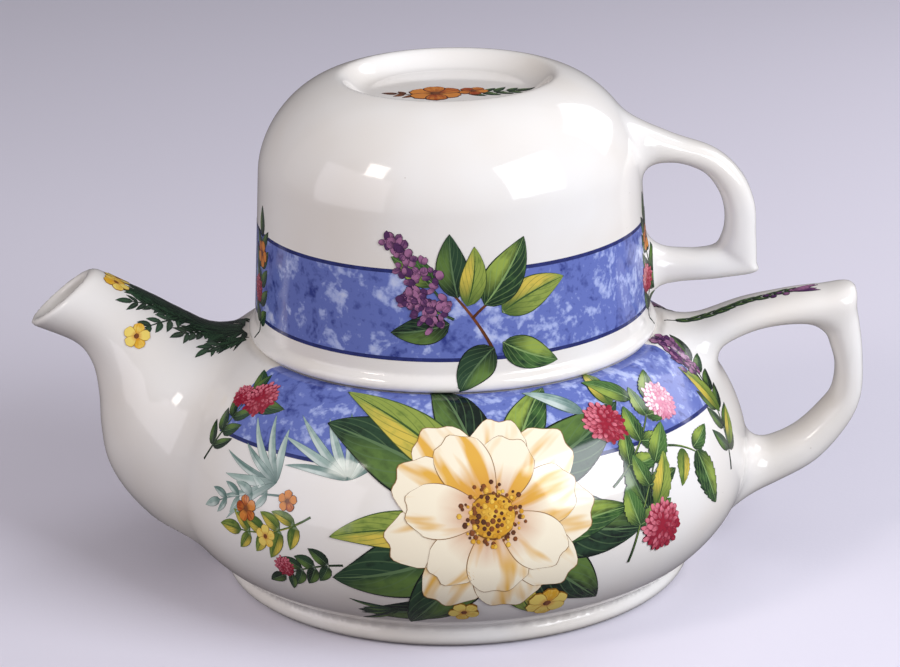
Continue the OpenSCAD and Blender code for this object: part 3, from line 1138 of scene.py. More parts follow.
@dataclass
class Cup:
    """The cup, upside down with its lip on the pot's seat, and its handle."""

    lip_z: float = 60.0
    lip_r: float = 50.0
    height: float = 63.0
    wall: float = 2.6
    base: float = 3.2
    lip_h: float = 2.4
    flare: float = 1.9
    taper: float = 2.2
    round_h: float = 21.0
    foot_r: float = 26.6
    foot_w: float = 4.0
    recess: float = 4.0
    handle_reach: float = 24.0
    handle_t: float = 7.4
    handle_w: float = 10.0
    handle_fillet: float = 5.0
    edge_round: float = 1.0
    bead_in: float = 1.9
    bead_start: float = 0.1
    bead_proud: float = 0.6
    bead_full: float = 0.92
    bead_fade: float = 1.4
    round_drop: float = 1.0
    dome_pull: tuple[float, float, float, float] = (0.6, 0.43, 0.58, 2.1)
    dish_pull: tuple[float, float, float, float] = (0.65, 0.25, 0.85, 2.0)
    inner_pull: Triple = (0.5, 0.6, 8.0)
    mouth_lip: float = 2.0
    mouth_past: float = 4.0
    mouth_round: Pair = (0.5, 0.6)
    handle_power: float = 2.4
    face_mm: float = 0.8
    curve_steps: int = 24
    rib_steps: int = 16
    handle_stations: tuple[tuple[float, ...], ...] = (
        (-0.375, 0.722, 103, 1.24, 1.4),
        (-0.156, 0.717, 98, 1.36, 1.3),
        (0.208, 0.687, 88, 0.83, 1.1),
        (0.52, 0.64, 52, 0.83, 1.04),
        (0.715, 0.562, 24, 0.95, 1),
        (0.815, 0.467, 8, 1, 1),
        (0.83, 0.37, -16, 1.07, 1),
        (0.815, 0.286, -33, 1.42, 0.98),
        (0.777, 0.248, -31, 1.68, 0.92),
        (0.5, 0.232, -42, 1.38, 1.04),
        (0.19, 0.23, -68, 1.12, 1.16),
        (-0.105, 0.233, -88, 1.42, 1.4),
        (-0.33, 0.233, -90, 1.75, 1.6),
    )

    def __post_init__(self) -> None:
        """Builds the forms that the cup is joined from."""
        self.neck_r = self.lip_r - self.flare
        self.neck_h = self.lip_h + self.bead_fade
        self.shoulder_r = self.neck_r - self.taper
        self.round_z = self.height - self.round_h - self.round_drop
        lift = np.array([0.0, self.lip_z])
        self.outside = TurnedForm(self.outer_outline() + lift)
        self.inside = TurnedForm(self.inner_outline() + lift)
        self.handle = RibTube(self.handle_ribs(), self.handle_power)

    def outer_outline(self) -> Array:
        """The outside of the cup, without its handle, measured up from the lip."""
        bead = [
            [self.lip_r - self.bead_in, 0],
            [self.lip_r, self.bead_start],
            [self.lip_r + self.bead_proud, self.lip_h * self.bead_full],
            [self.neck_r, self.neck_h],
        ]
        draw_in, up, out, down = self.dome_pull
        dome = [
            [self.shoulder_r, self.round_z],
            [self.shoulder_r - draw_in, self.round_z + self.round_h * up],
            [self.foot_r + (self.shoulder_r - self.foot_r) * out, self.height - down],
            [self.foot_r, self.height],
        ]
        floor = self.height - self.recess
        crest, proud, drop, flat = self.dish_pull
        dish = [
            [self.foot_r, self.height],
            [self.foot_r - self.foot_w * crest, self.height + proud],
            [self.foot_r - self.foot_w * drop, floor],
            [self.foot_r - self.foot_w * flat, floor],
        ]
        steps = self.curve_steps
        rounds = [bezier(bead, steps), bezier(dome, steps), bezier(dish, steps)[1:]]
        return np.concatenate([[[0, 0]], *rounds, [[0, floor]]])

    def inner_outline(self) -> Array:
        """The hollow of the cup, measured up from the lip."""
        lip_in = self.neck_r - self.wall + self.mouth_lip
        top = self.height - self.recess - self.base
        start = self.round_z - self.round_drop
        wall_r = self.shoulder_r - self.wall
        draw_in, up, corner = self.inner_pull
        dome = [
            [wall_r, start],
            [wall_r - draw_in, start + (top - start) * up],
            [wall_r - corner, top],
            [self.foot_r - self.foot_w, top],
        ]
        back, rise = self.mouth_round
        mouth = [[0, -self.mouth_past], [lip_in, -self.mouth_past], [lip_in, 0], [lip_in - back, rise]]
        mouth.append([self.neck_r - self.wall, self.neck_h])
        return np.concatenate([mouth, bezier(dome, self.curve_steps), [[0, top]]])

    def handle_ribs(self) -> Array:
        """The handle's ribs."""
        ribs = smooth_run(self.handle_stations, self.rib_steps)
        ribs *= [self.handle_reach, self.height, 1, self.handle_t, self.handle_w]
        return ribs + [self.lip_r, self.lip_z, 0, 0, 0]

    def form(self, points: Array) -> Array:
        """The signed distance to the whole cup."""
        whole = soft_min(self.outside.distance(points), self.handle.distance(points), self.handle_fillet)
        return soft_max(whole, -self.inside.distance(points), self.edge_round)

    def build(self, glaze: Material) -> Piece:
        """Makes the cup's mesh and dresses it.

        Args:
            glaze: The porcelain.

        Returns:
            The piece; the cup node is hidden in its place.
        """
        maker = SkinMaker(self.form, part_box("cup"), self.face_mm)
        piece = skin_piece("cup_porcelain", maker, glaze)
        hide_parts("cup")
        return piece


# The print


class Shape(Enum):
    """The outline of one painted stroke."""

    LEAF = "leaf"
    SAW_LEAF = "saw-edged leaf"
    PETAL = "petal"
    STEM = "stem"
    DROP = "drop"


class Ink(Enum):
    """The ceramic colours of the print."""

    CREAM = PaintedInk(
        "cream enamel",
        "#e9b44c",
        "#fff4da",
        "#c46f28",
        "#8f6431",
        rim_width=0.035,
        streak_share=1.0,
        streak_count=3.1,
        root_reach=0.66,
        tone_share=0.08,
        tone_from=0.47,
        tone_to=0.62,
        tip_paling=0.13,
    )
    GOLD = PaintedInk("gold ochre enamel", "#d79b2b", "#f0c552", "#a87322", "#7d5420", rim_width=0.12)
    BROWN = PaintedInk("umber enamel", "#5a3420", "#8a4f28", "#452416", "#3c2012")
    DARK_LEAF = PaintedInk(
        "bottle green enamel", "#121f19", "#2c4731", "#101c15", "#0f1b15", vein="#5f7a52", glow="#5f7c3c"
    )
    MID_LEAF = PaintedInk(
        "leaf green enamel", "#1e3a23", "#4b7239", "#172e1c", "#172e1c", vein="#86a462", glow="#98ad4c"
    )
    LIGHT_LEAF = PaintedInk(
        "olive yellow enamel", "#52702f", "#93a44a", "#3a5728", "#344d24", vein="#3a5728", glow="#d8c152"
    )
    FOREST = PaintedInk("forest green enamel", "#1a2a20", "#2f4a35", "#121d16", "#111b15", vein="#4f6a4b")
    SAGE = PaintedInk(
        "sage enamel", "#6d8a84", "#a9c0b8", "#4f6d67", "#4d6963", rim_width=0.1, glow="#cfdcd6"
    )
    RED = PaintedInk("madder red enamel", "#9d2036", "#e07b8b", "#7c1730", "#7c1a30", rim_width=0.16)
    PINK = PaintedInk("rose pink enamel", "#d97f9b", "#fbe8ec", "#c1617f", "#b8607c", rim_width=0.12)
    PURPLE = PaintedInk("plum enamel", "#54305c", "#a76f95", "#331a3c", "#2c1634", rim_width=0.16)
    YELLOW = PaintedInk("lemon yellow enamel", "#e6ad2c", "#f7dc70", "#cf6a26", "#a87220", rim_width=0.1)
    ORANGE = PaintedInk("burnt orange enamel", "#a9481c", "#e08d3c", "#4e2518", "#4c2214", rim_width=0.14)
    NAVY = PaintedInk("navy enamel line", "#252d66", "#343f85", "#252d66", "#1f2759", rim_width=0.0)


@dataclass(frozen=True)
class Stroke:
    """One painted stroke, in millimetres on the flat sheet of its spray.

    It starts at x and y, runs at an angle in degrees, and turns by bend from its base to its tip. Tone runs
    from 0, dark, to 1, light, and lift is its height over the glaze.
    """

    ink: Ink
    shape: Shape
    x: float
    y: float
    angle: float
    length: float
    width: float
    bend: float = 0.0
    tone: float = 0.5
    lift: float = 0.05

    CELL = 1.1
    SAW_CELLS = 4

    def half_width(self, t: Array) -> Array:
        """The share of the half width at each place from the base, 0, to the tip, 1."""
        if self.shape is Shape.LEAF:
            belly, fullness = 0.75, 0.85
            return np.sin(np.pi * t**belly) ** fullness
        if self.shape is Shape.SAW_LEAF:
            belly, fullness, teeth, bite = 0.7, 0.8, 8, 0.16
            return np.sin(np.pi * t**belly) ** fullness * (1 - bite * ((t * teeth) % 1))
        if self.shape is Shape.PETAL:
            claw, swell, roundness = 0.2, 0.62, 1.3
            return claw + (1 - claw) * np.sin(np.pi * t * swell) ** roundness
        if self.shape is Shape.STEM:
            thinning = 0.5
            return 1 - thinning * t
        return np.sqrt(np.maximum(1 - (2 * t - 1) ** 2, 0))

    def sheet(self) -> tuple[Array, Array, tuple[int, int]]:
        """Draws the stroke flat.

        Returns:
            Its points, their places across and along, and the number of points along and across.
        """
        fine = self.SAW_CELLS if self.shape is Shape.SAW_LEAF else 1
        along = max(5, math.ceil(self.length / self.CELL) * fine) + 1
        wide = max(2, 2 * math.ceil(self.width / self.CELL / 2)) + 1
        t, s = np.meshgrid(np.linspace(0, 1, along), np.linspace(-1, 1, wide), indexing="ij")
        reach = t
        if self.shape is Shape.PETAL:
            roundness, squareness, ruffle, waves, other = 0.2, 2.6, 0.025, 7, 20
            ripple = ruffle * np.cos(waves * s + other * self.tone)
            reach = t * (1 - roundness * np.abs(s) ** squareness - ripple * t)
        turn = math.radians(self.angle) + math.radians(self.bend) * (reach - 0.5)
        mean = math.radians(self.angle) + math.radians(self.bend) * (reach - 1) / 2
        far = reach * self.length
        side = s * self.half_width(t) * self.width / 2
        x = self.x + far * np.cos(mean) - side * np.sin(turn)
        y = self.y + far * np.sin(mean) + side * np.cos(turn)
        flat = np.stack([x.ravel(), y.ravel()], 1)
        return flat, np.stack([(s.ravel() + 1) / 2, t.ravel()], 1), (along, wide)


class RoundChart:
    """A flat sheet wrapped round a turned form: x runs round it and y up its outline."""

    NARROWEST = 8.0

    def __init__(self, outline: Array, level: float) -> None:
        """Measures the outline, where y is 0 at the given height."""
        self.outline = outline
        run = np.concatenate([[0], np.cumsum(np.hypot(*np.diff(outline, axis=0).T))])
        self.run = run - np.interp(level, outline[:, 1], run)

    def ring(self, around: Array, rise: Array) -> Array:
        """The points in space at angles round the form, in radians from +X, and at places up its outline."""
        r = np.interp(rise, self.run, self.outline[:, 0])
        z = np.interp(rise, self.run, self.outline[:, 1])
        return np.stack([(r * np.cos(around)).ravel(), (r * np.sin(around)).ravel(), z.ravel()], 1)

    def wrap(self, turn: float, rise: float, tilt: float, flat: Array) -> Array:
        """Wraps flat points round the form.

        Args:
            turn: Where the sheet's origin lies, in degrees from the front towards the handle.
            rise: How far up the outline it lies.
            tilt: How far the sheet is turned, in degrees.
            flat: The points.

        Returns:
            The points in space.
        """
        c, s = math.cos(math.radians(tilt)), math.sin(math.radians(tilt))
        x = flat[:, 0] * c - flat[:, 1] * s
        y = flat[:, 0] * s + flat[:, 1] * c + rise
        r = np.interp(y, self.run, self.outline[:, 0])
        return self.ring(math.radians(turn - 90) + x / np.maximum(r, self.NARROWEST), y)


@dataclass
class RoundSpot:
    """A place on a turned form where a spray is laid."""

    chart: RoundChart
    turn: float
    rise: float
    tilt: float = 0.0
    flip: bool = False

    def wrap(self, flat: Array) -> Array:
        """Wraps flat points round the form at this place, mirrored to the far side where it is flipped."""
        if self.flip:
            return self.chart.wrap(180 - self.turn, self.rise, -self.tilt, flat * [-1, 1])
        return self.chart.wrap(self.turn, self.rise, self.tilt, flat)


@dataclass
class FlatSpot:
    """A flat place in space where a spray is laid: its middle, the way to its right and the way it faces."""

    middle: Triple
    right: Triple
    facing: Triple
    flip: bool = False

    def wrap(self, flat: Array) -> Array:
        """Places flat points in the plane."""
        normal = np.asarray(self.facing) / np.linalg.norm(self.facing)
        across = np.asarray(self.right) - normal * np.dot(self.right, normal)
        across /= np.linalg.norm(across)
        up = np.cross(normal, across)
        points = np.asarray(self.middle) + flat[:, :1] * across + flat[:, 1:] * up
        return points * [1, -1, 1] if self.flip else points


@dataclass(frozen=True)
class Patch:
    """A sheet of points on its way to the form, with their places on the stroke, its tone and its lift."""

    points: Array
    places: Array
    size: tuple[int, int]
    tone: float
    lift: float


class Painter:
    """Lays strokes on a form as thin closed patches and gathers them by ink."""

    UNDER = 0.1
    ROUNDS = 5
    STRIDE = 2.5
    BAND_CELL = (1.6, 0.5)
    MIDDLE = 0.5

    def __init__(self, owner: str, form: Field, inks: dict[str, Material]) -> None:
        """Keeps the form and the inks' materials."""
        self.owner = owner
        self.form = form
        self.inks = inks
        self.patches: dict[str, list[Patch]] = {}

    def spray(self, spot: RoundSpot | FlatSpot, strokes: Iterable[Stroke]) -> None:
        """Lays the strokes of one spray."""
        for stroke in strokes:
            flat, places, size = stroke.sheet()
            self.keep(stroke.ink.value.name, Patch(spot.wrap(flat), places, size, stroke.tone, stroke.lift))

    def band(self, material: str, chart: RoundChart, turns: Sequence, rises: Sequence, lift: float) -> None:
        """Lays a band between two turns and two heights.

        Args:
            material: The ink.
            chart: The form's sheet.
            turns: Where it starts and ends, in degrees.
            rises: Where it starts and ends up the outline.
            lift: Its height over the glaze.
        """
        mean_r = float(np.interp(sum(rises) / 2, chart.run, chart.outline[:, 0]))
        around = math.ceil(mean_r * math.radians(turns[1] - turns[0]) / self.BAND_CELL[0]) + 1
        up = max(2, math.ceil((rises[1] - rises[0]) / self.BAND_CELL[1])) + 1
        t, s = np.meshgrid(np.linspace(*turns, around), np.linspace(*rises, up), indexing="ij")
        points = chart.ring(np.radians(t - 90), s)
        places = np.full((len(points), 2), self.MIDDLE)
        self.keep(material, Patch(points, places, (around, up), self.MIDDLE, lift))

    def keep(self, material: str, patch: Patch) -> None:
        """Keeps one patch until the painter finishes."""
        self.patches.setdefault(material, []).append(patch)

    def finish(self) -> None:
        """Settles the patches on the form and makes one piece of each ink."""
        for material, patches in self.patches.items():
            counts = [len(patch.points) for patch in patches]
            total = sum(counts)
            guess = np.concatenate([patch.points for patch in patches])
            settled = settle(self.form, guess, self.ROUNDS, self.STRIDE)
            normals = outward(self.form, settled)
            lifts = np.repeat([patch.lift for patch in patches], counts)[:, None]
            points = np.concatenate([settled + normals * lifts, settled - normals * self.UNDER])
            starts = np.cumsum([0, *counts[:-1]])
            shells = [self._shell(*patch.size, total) + start for patch, start in zip(patches, starts)]
            faces = self._face_out(np.concatenate(shells), points, normals, total)
            name = f"{self.owner}_{material.replace(' ', '_')}"
            mesh = mesh_of(name, points, faces, np.tile(normals, (2, 1)))
            self._mark(mesh, patches, counts)
            link(name, mesh, self.inks[material])
            log.info("%s: %d patches, %d faces", name, len(patches), len(faces))

    @staticmethod
    def _mark(mesh: Mesh, patches: list[Patch], counts: list[int]) -> None:
        """Writes the places on the strokes and the tones to a mesh, for the tops and the undersides alike.

        Args:
            mesh: The mesh of one ink.
            patches: Its patches.
            counts: How many points each patch has.
        """
        places = np.tile(np.concatenate([patch.places for patch in patches]), (2, 1))
        tones = np.tile(np.repeat([patch.tone for patch in patches], counts), 2)
        corner = np.empty(len(mesh.loops), np.int32)
        mesh.loops.foreach_get("vertex_index", corner)
        layer = mesh.uv_layers.new(name="stroke")
        layer.data.foreach_set("uv", places[corner].astype(np.float32).ravel())
        tone = mesh.attributes.new(TONE, "FLOAT", "POINT")
        tone.data.foreach_set("value", tones.astype(np.float32))

    @staticmethod
    def _shell(along: int, wide: int, under: int) -> Array:
        """The faces of one patch: its top, its underside and its four edges.

        Args:
            along: How many points it has along.
            wide: How many it has across.
            under: How far on the numbers of the underside's points are.

        Returns:
            The faces, one row each.
        """
        number = np.arange(along * wide).reshape(along, wide)
        a, b, c, d = number[:-1, :-1], number[1:, :-1], number[1:, 1:], number[:-1, 1:]
        top = np.stack([a.ravel(), b.ravel(), c.ravel(), d.ravel()], 1)
        bottom = top[:, ::-1] + under
        ring = np.concatenate([number[:, 0], number[-1, 1:], number[-2::-1, -1], number[0, -2:0:-1]])
        following = np.roll(ring, -1)
        edge = np.stack([following, ring, ring + under, following + under], 1)
        return np.concatenate([top, bottom, edge])

    @staticmethod
    def _face_out(faces: Array, points: Array, normals: Array, total: int) -> Array:
        """Turns patches over whose top looks inwards.

        Args:
            faces: The faces, one row each.
            points: The points of tops and undersides.
            normals: The way the form faces at each top's point.
            total: How many points the tops have.

        Returns:
            The faces, all turned outwards.
        """
        corner = points[faces]
        across = np.cross(corner[:, 2] - corner[:, 0], corner[:, 3] - corner[:, 1])
        first = faces[:, 0] % total
        is_top = (faces < total).all(1)
        is_bottom = (faces >= total).all(1)
        agree = (across * normals[first]).sum(1)
        turn = (is_top & (agree < 0)) | (is_bottom & (agree > 0))
        return np.where(turn[:, None], faces[:, ::-1], faces)


class Botanist:
    """Draws flowers, leaves and sprigs as lists of strokes, each drawn a little differently."""

    STEP = 0.009
    GOLDEN_TURN = 137.508
    BLOOM_RINGS = ((9, 1.0, 0.62, 0.0), (7, 0.8, 0.56, 17.0))
    HEART_LIFT = 0.2
    HEART_SHARE = 0.22
    HEART_SPREAD = 1.4
    HEART_DOTS = 110
    DOT_SIZE = 0.95
    FLORETS = 54
    BLOSSOMS = 60
    STEM_WIDTH = 0.55
    TWIG_BARE = 0.6

    def __init__(self, seed: int) -> None:
        """Starts the even-handed chance that every stroke draws on."""
        self.chance = np.random.default_rng(seed)

    def between(self, low: float, high: float) -> float:
        """A chance value between two others."""
        return float(self.chance.uniform(low, high))

    def vary(self, value: float, share: float) -> float:
        """A value changed by up to a share of itself."""
        return value * (1 + share * self.between(-1, 1))

    @staticmethod
    def polar(x: float, y: float, far: float, turn: float) -> Pair:
        """The place that lies far off x and y at a turn in degrees."""
        return x + far * math.cos(math.radians(turn)), y + far * math.sin(math.radians(turn))

    @staticmethod
    def disc(ink: Ink, x: float, y: float, radius: float, tone: float, lift: float) -> Stroke:
        """A round spot."""
        return Stroke(ink, Shape.DROP, x - radius, y, 0.0, 2 * radius, 2 * radius, 0.0, tone, lift)

    def bloom(self, x: float, y: float, radius: float, lift: float) -> list[Stroke]:
        """A wide open flower of many cream petals in two rings, with a stippled golden centre.

        Args:
            x: Where it stands across the sheet.
            y: Where it stands up the sheet.
            radius: Its radius.
            lift: Its height over the glaze.

        Returns:
            The strokes.
        """
        turn_by, bend_by, ring_steps = 5, 14, 12
        strokes = []
        for ring, (count, reach, breadth, start) in enumerate(self.BLOOM_RINGS):
            for i in range(count):
                angle = start + 360 * i / count + self.between(-turn_by, turn_by)
                length = self.vary(radius * reach, 0.06)
                width = self.vary(radius * breadth, 0.08)
                bend, tone = self.between(-bend_by, bend_by), self.between(0.3, 1.0)
                height = lift + (ring_steps * ring + (i * 2) % count) * self.STEP
                strokes.append(Stroke(Ink.CREAM, Shape.PETAL, x, y, angle, length, width, bend, tone, height))
        top = lift + self.HEART_LIFT
        heart = radius * self.HEART_SHARE
        strokes.append(self.disc(Ink.GOLD, x, y, heart, 0.4, top))
        for i in range(self.HEART_DOTS):
            far = heart * self.vary(self.HEART_SPREAD * math.sqrt((i + 0.5) / self.HEART_DOTS), 0.07)
            turn = i * self.GOLDEN_TURN + self.between(-7, 7)
            size = self.vary(self.DOT_SIZE, 0.4)
            ink = Ink.BROWN if i % 5 in (0, 2, 3) else Ink.GOLD
            tone, height = 0.2 + 0.2 * (i % 4), top + self.STEP * (1 + i % 3)
            strokes.append(self.disc(ink, *self.polar(x, y, far, turn), size / 2, tone, height))
        return strokes

    def button(self, ink: Ink, x: float, y: float, radius: float, lift: float) -> list[Stroke]:
        """A round blossom of many small florets, lighter towards the top left.

        Args:
            ink: The colour.
            x: Where it stands across the sheet.
            y: Where it stands up the sheet.
            radius: Its radius.
            lift: Its height over the glaze.

        Returns:
            The strokes.
        """
        ground, spread, long_share, wide_share, from_right, from_below = 0.9, 0.8, 0.3, 0.21, 0.35, 0.4
        strokes = [self.disc(ink, x, y, radius * ground, 0.12, lift)]
        for i in range(self.FLORETS):
            far = radius * spread * math.sqrt((i + 0.6) / self.FLORETS)
            turn = i * self.GOLDEN_TURN
            px, py = self.polar(x, y, far, turn)
            tone = 0.5 - from_right * (px - x) / radius + from_below * (py - y) / radius
            tone = min(max(tone + self.between(-0.2, 0.2), 0), 1)
            angle = turn + self.between(-20, 20)
            length, width = self.vary(radius * long_share, 0.2), self.vary(radius * wide_share, 0.2)
            height = lift + self.STEP * (1 + i % 3)
            strokes.append(Stroke(ink, Shape.DROP, px, py, angle, length, width, 0.0, tone, height))
        return strokes

    def leaf(
        self, ink: Ink, x: float, y: float, angle: float, length: float, width: float, lift: float,
        bend: float = 12.0, saw: bool = False,
    ) -> Stroke:
        """One leaf from its stalk.

        Args:
            ink: The colour.
            x: Where it stands across the sheet.
            y: Where it stands up the sheet.
            angle: Where it points, in degrees.
            length: Its length.
            width: Its width.
            lift: Its height over the glaze.
            bend: How far it turns, in degrees.
            saw: Whether its edge is saw-toothed.

        Returns:
            The stroke.
        """
        shape = Shape.SAW_LEAF if saw else Shape.LEAF
        return Stroke(ink, shape, x, y, angle, length, width, bend, self.between(0.25, 0.85), lift)

    def leaves(self, rows: Iterable[Sequence], saw: bool = False) -> list[Stroke]:
        """Leaves from rows of ink, place, angle, length, width, lift and bend."""
        return [self.leaf(*row, saw=saw) for row in rows]

    def twig(
        self, ink: Ink, x: float, y: float, angle: float, length: float, leaf: Pair,
        pairs: int, lift: float, bend: float = 20.0, saw: bool = False, spread: float = 42.0,
    ) -> list[Stroke]:
        """A stem with leaves to both sides and one at its tip.

        Args:
            ink: The colour.
            x: Where it starts across the sheet.
            y: Where it starts up the sheet.
            angle: Where it points, in degrees.
            length: The stem's length.
            leaf: A leaf's length and width.
            pairs: How many pairs of leaves it has.
            lift: Its height over the glaze.
            bend: How far the stem turns.
            saw: Whether the leaves' edges are saw-toothed.
            spread: The angle between leaf and stem.

        Returns:
            The strokes.
        """
        largest_at, falling, leaf_bend, tip_bend, tip_step = 0.4, 0.35, 18.0, 6.0, 6
        strokes = [Stroke(ink, Shape.STEM, x, y, angle, length, self.STEM_WIDTH, bend, 0.3, lift)]
        for i in range(pairs):
            t = (i + 1) / (pairs + self.TWIG_BARE)
            px, py = self.polar(x, y, t * length, angle + bend * (t - 1) / 2)
            turn = angle + bend * (t - 0.5)
            size = 1 - falling * abs(t - largest_at)
            for side in (-1, 1):
                way = turn + side * self.vary(spread, 0.2)
                long, wide = self.vary(leaf[0] * size, 0.12), self.vary(leaf[1] * size, 0.12)
                height = lift + self.STEP * (1 + (2 * i + (side > 0)) % 5)
                strokes.append(self.leaf(ink, px, py, way, long, wide, height, -side * leaf_bend, saw))
        px, py = self.polar(x, y, length, angle)
        height = lift + self.STEP * tip_step
        strokes.append(self.leaf(ink, px, py, angle + bend / 2, *leaf, height, tip_bend, saw))
        return strokes

    def spike(
        self, x: float, y: float, angle: float, length: float, radius: float, lift: float
    ) -> list[Stroke]:
        """A spike of small plum blossoms that narrows to its tip.

        Args:
            x: Where it stands across the sheet.
            y: Where it stands up the sheet.
            angle: Where it points, in degrees.
            length: Its length.
            radius: Its radius at its foot.
            lift: Its height over the glaze.

        Returns:
            The strokes.
        """
        bare, narrowing, turn_by, stem_bend, long_mm, wide_mm = 0.12, 0.7, 80, 8.0, 2.0, 1.7
        strokes = [Stroke(Ink.MID_LEAF, Shape.STEM, x, y, angle, length, 0.6, stem_bend, 0.4, lift)]
        c, s = math.cos(math.radians(angle)), math.sin(math.radians(angle))
        for i in range(self.BLOSSOMS):
            t = bare + (1 - bare) * (i / self.BLOSSOMS)
            spread = radius * (1 - narrowing * t) * self.between(-1, 1)
            px, py = x + c * t * length - s * spread, y + s * t * length + c * spread
            tone = self.between(0, 1)
            turn = angle + self.between(-turn_by, turn_by)
            long, wide = self.vary(long_mm, 0.3), self.vary(wide_mm, 0.3)
            height = lift + self.STEP * (1 + i % 4)
            strokes.append(Stroke(Ink.PURPLE, Shape.DROP, px, py, turn, long, wide, 0.0, tone, height))
        return strokes

    def star(self, ink: Ink, x: float, y: float, radius: float, lift: float, petals: int = 5) -> list[Stroke]:
        """A small flower of a few petals.

        Args:
            ink: The colour.
            x: Where it stands across the sheet.
            y: Where it stands up the sheet.
            radius: Its radius.
            lift: Its height over the glaze.
            petals: How many petals it has.

        Returns:
            The strokes.
        """
        start = self.between(0, 360)
        width, heart = radius * 0.85, radius * 0.2
        strokes = []
        for i in range(petals):
            angle, tone = start + 360 * i / petals, self.between(0.3, 1)
            height = lift + self.STEP * (i % 3)
            strokes.append(Stroke(ink, Shape.PETAL, x, y, angle, radius, width, 0.0, tone, height))
        strokes.append(self.disc(Ink.BROWN, x, y, heart, 0.7, lift + self.STEP * 4))
        return strokes

    def fan(
        self, ink: Ink, x: float, y: float, angle: float, spread: float, length: float, count: int,
        lift: float, width: float = 1.8,
    ) -> list[Stroke]:
        """Narrow leaves that fan out from one place.

        Args:
            ink: The colour.
            x: Where it stands across the sheet.
            y: Where it stands up the sheet.
            angle: Where it points, in degrees.
            spread: The angle from the first leaf to the last.
            length: A leaf's length.
            count: How many leaves there are.
            lift: Its height over the glaze.
            width: A leaf's width.

        Returns:
            The strokes.
        """
        bend_by = 26
        strokes = []
        for i in range(count):
            turn = angle + spread * (i / (count - 1) - 0.5)
            long, bend = self.vary(length, 0.25), self.between(-bend_by, bend_by)
            height = lift + self.STEP * (i % 4)
            strokes.append(self.leaf(ink, x, y, turn, long, self.vary(width, 0.2), height, bend))
        return strokes


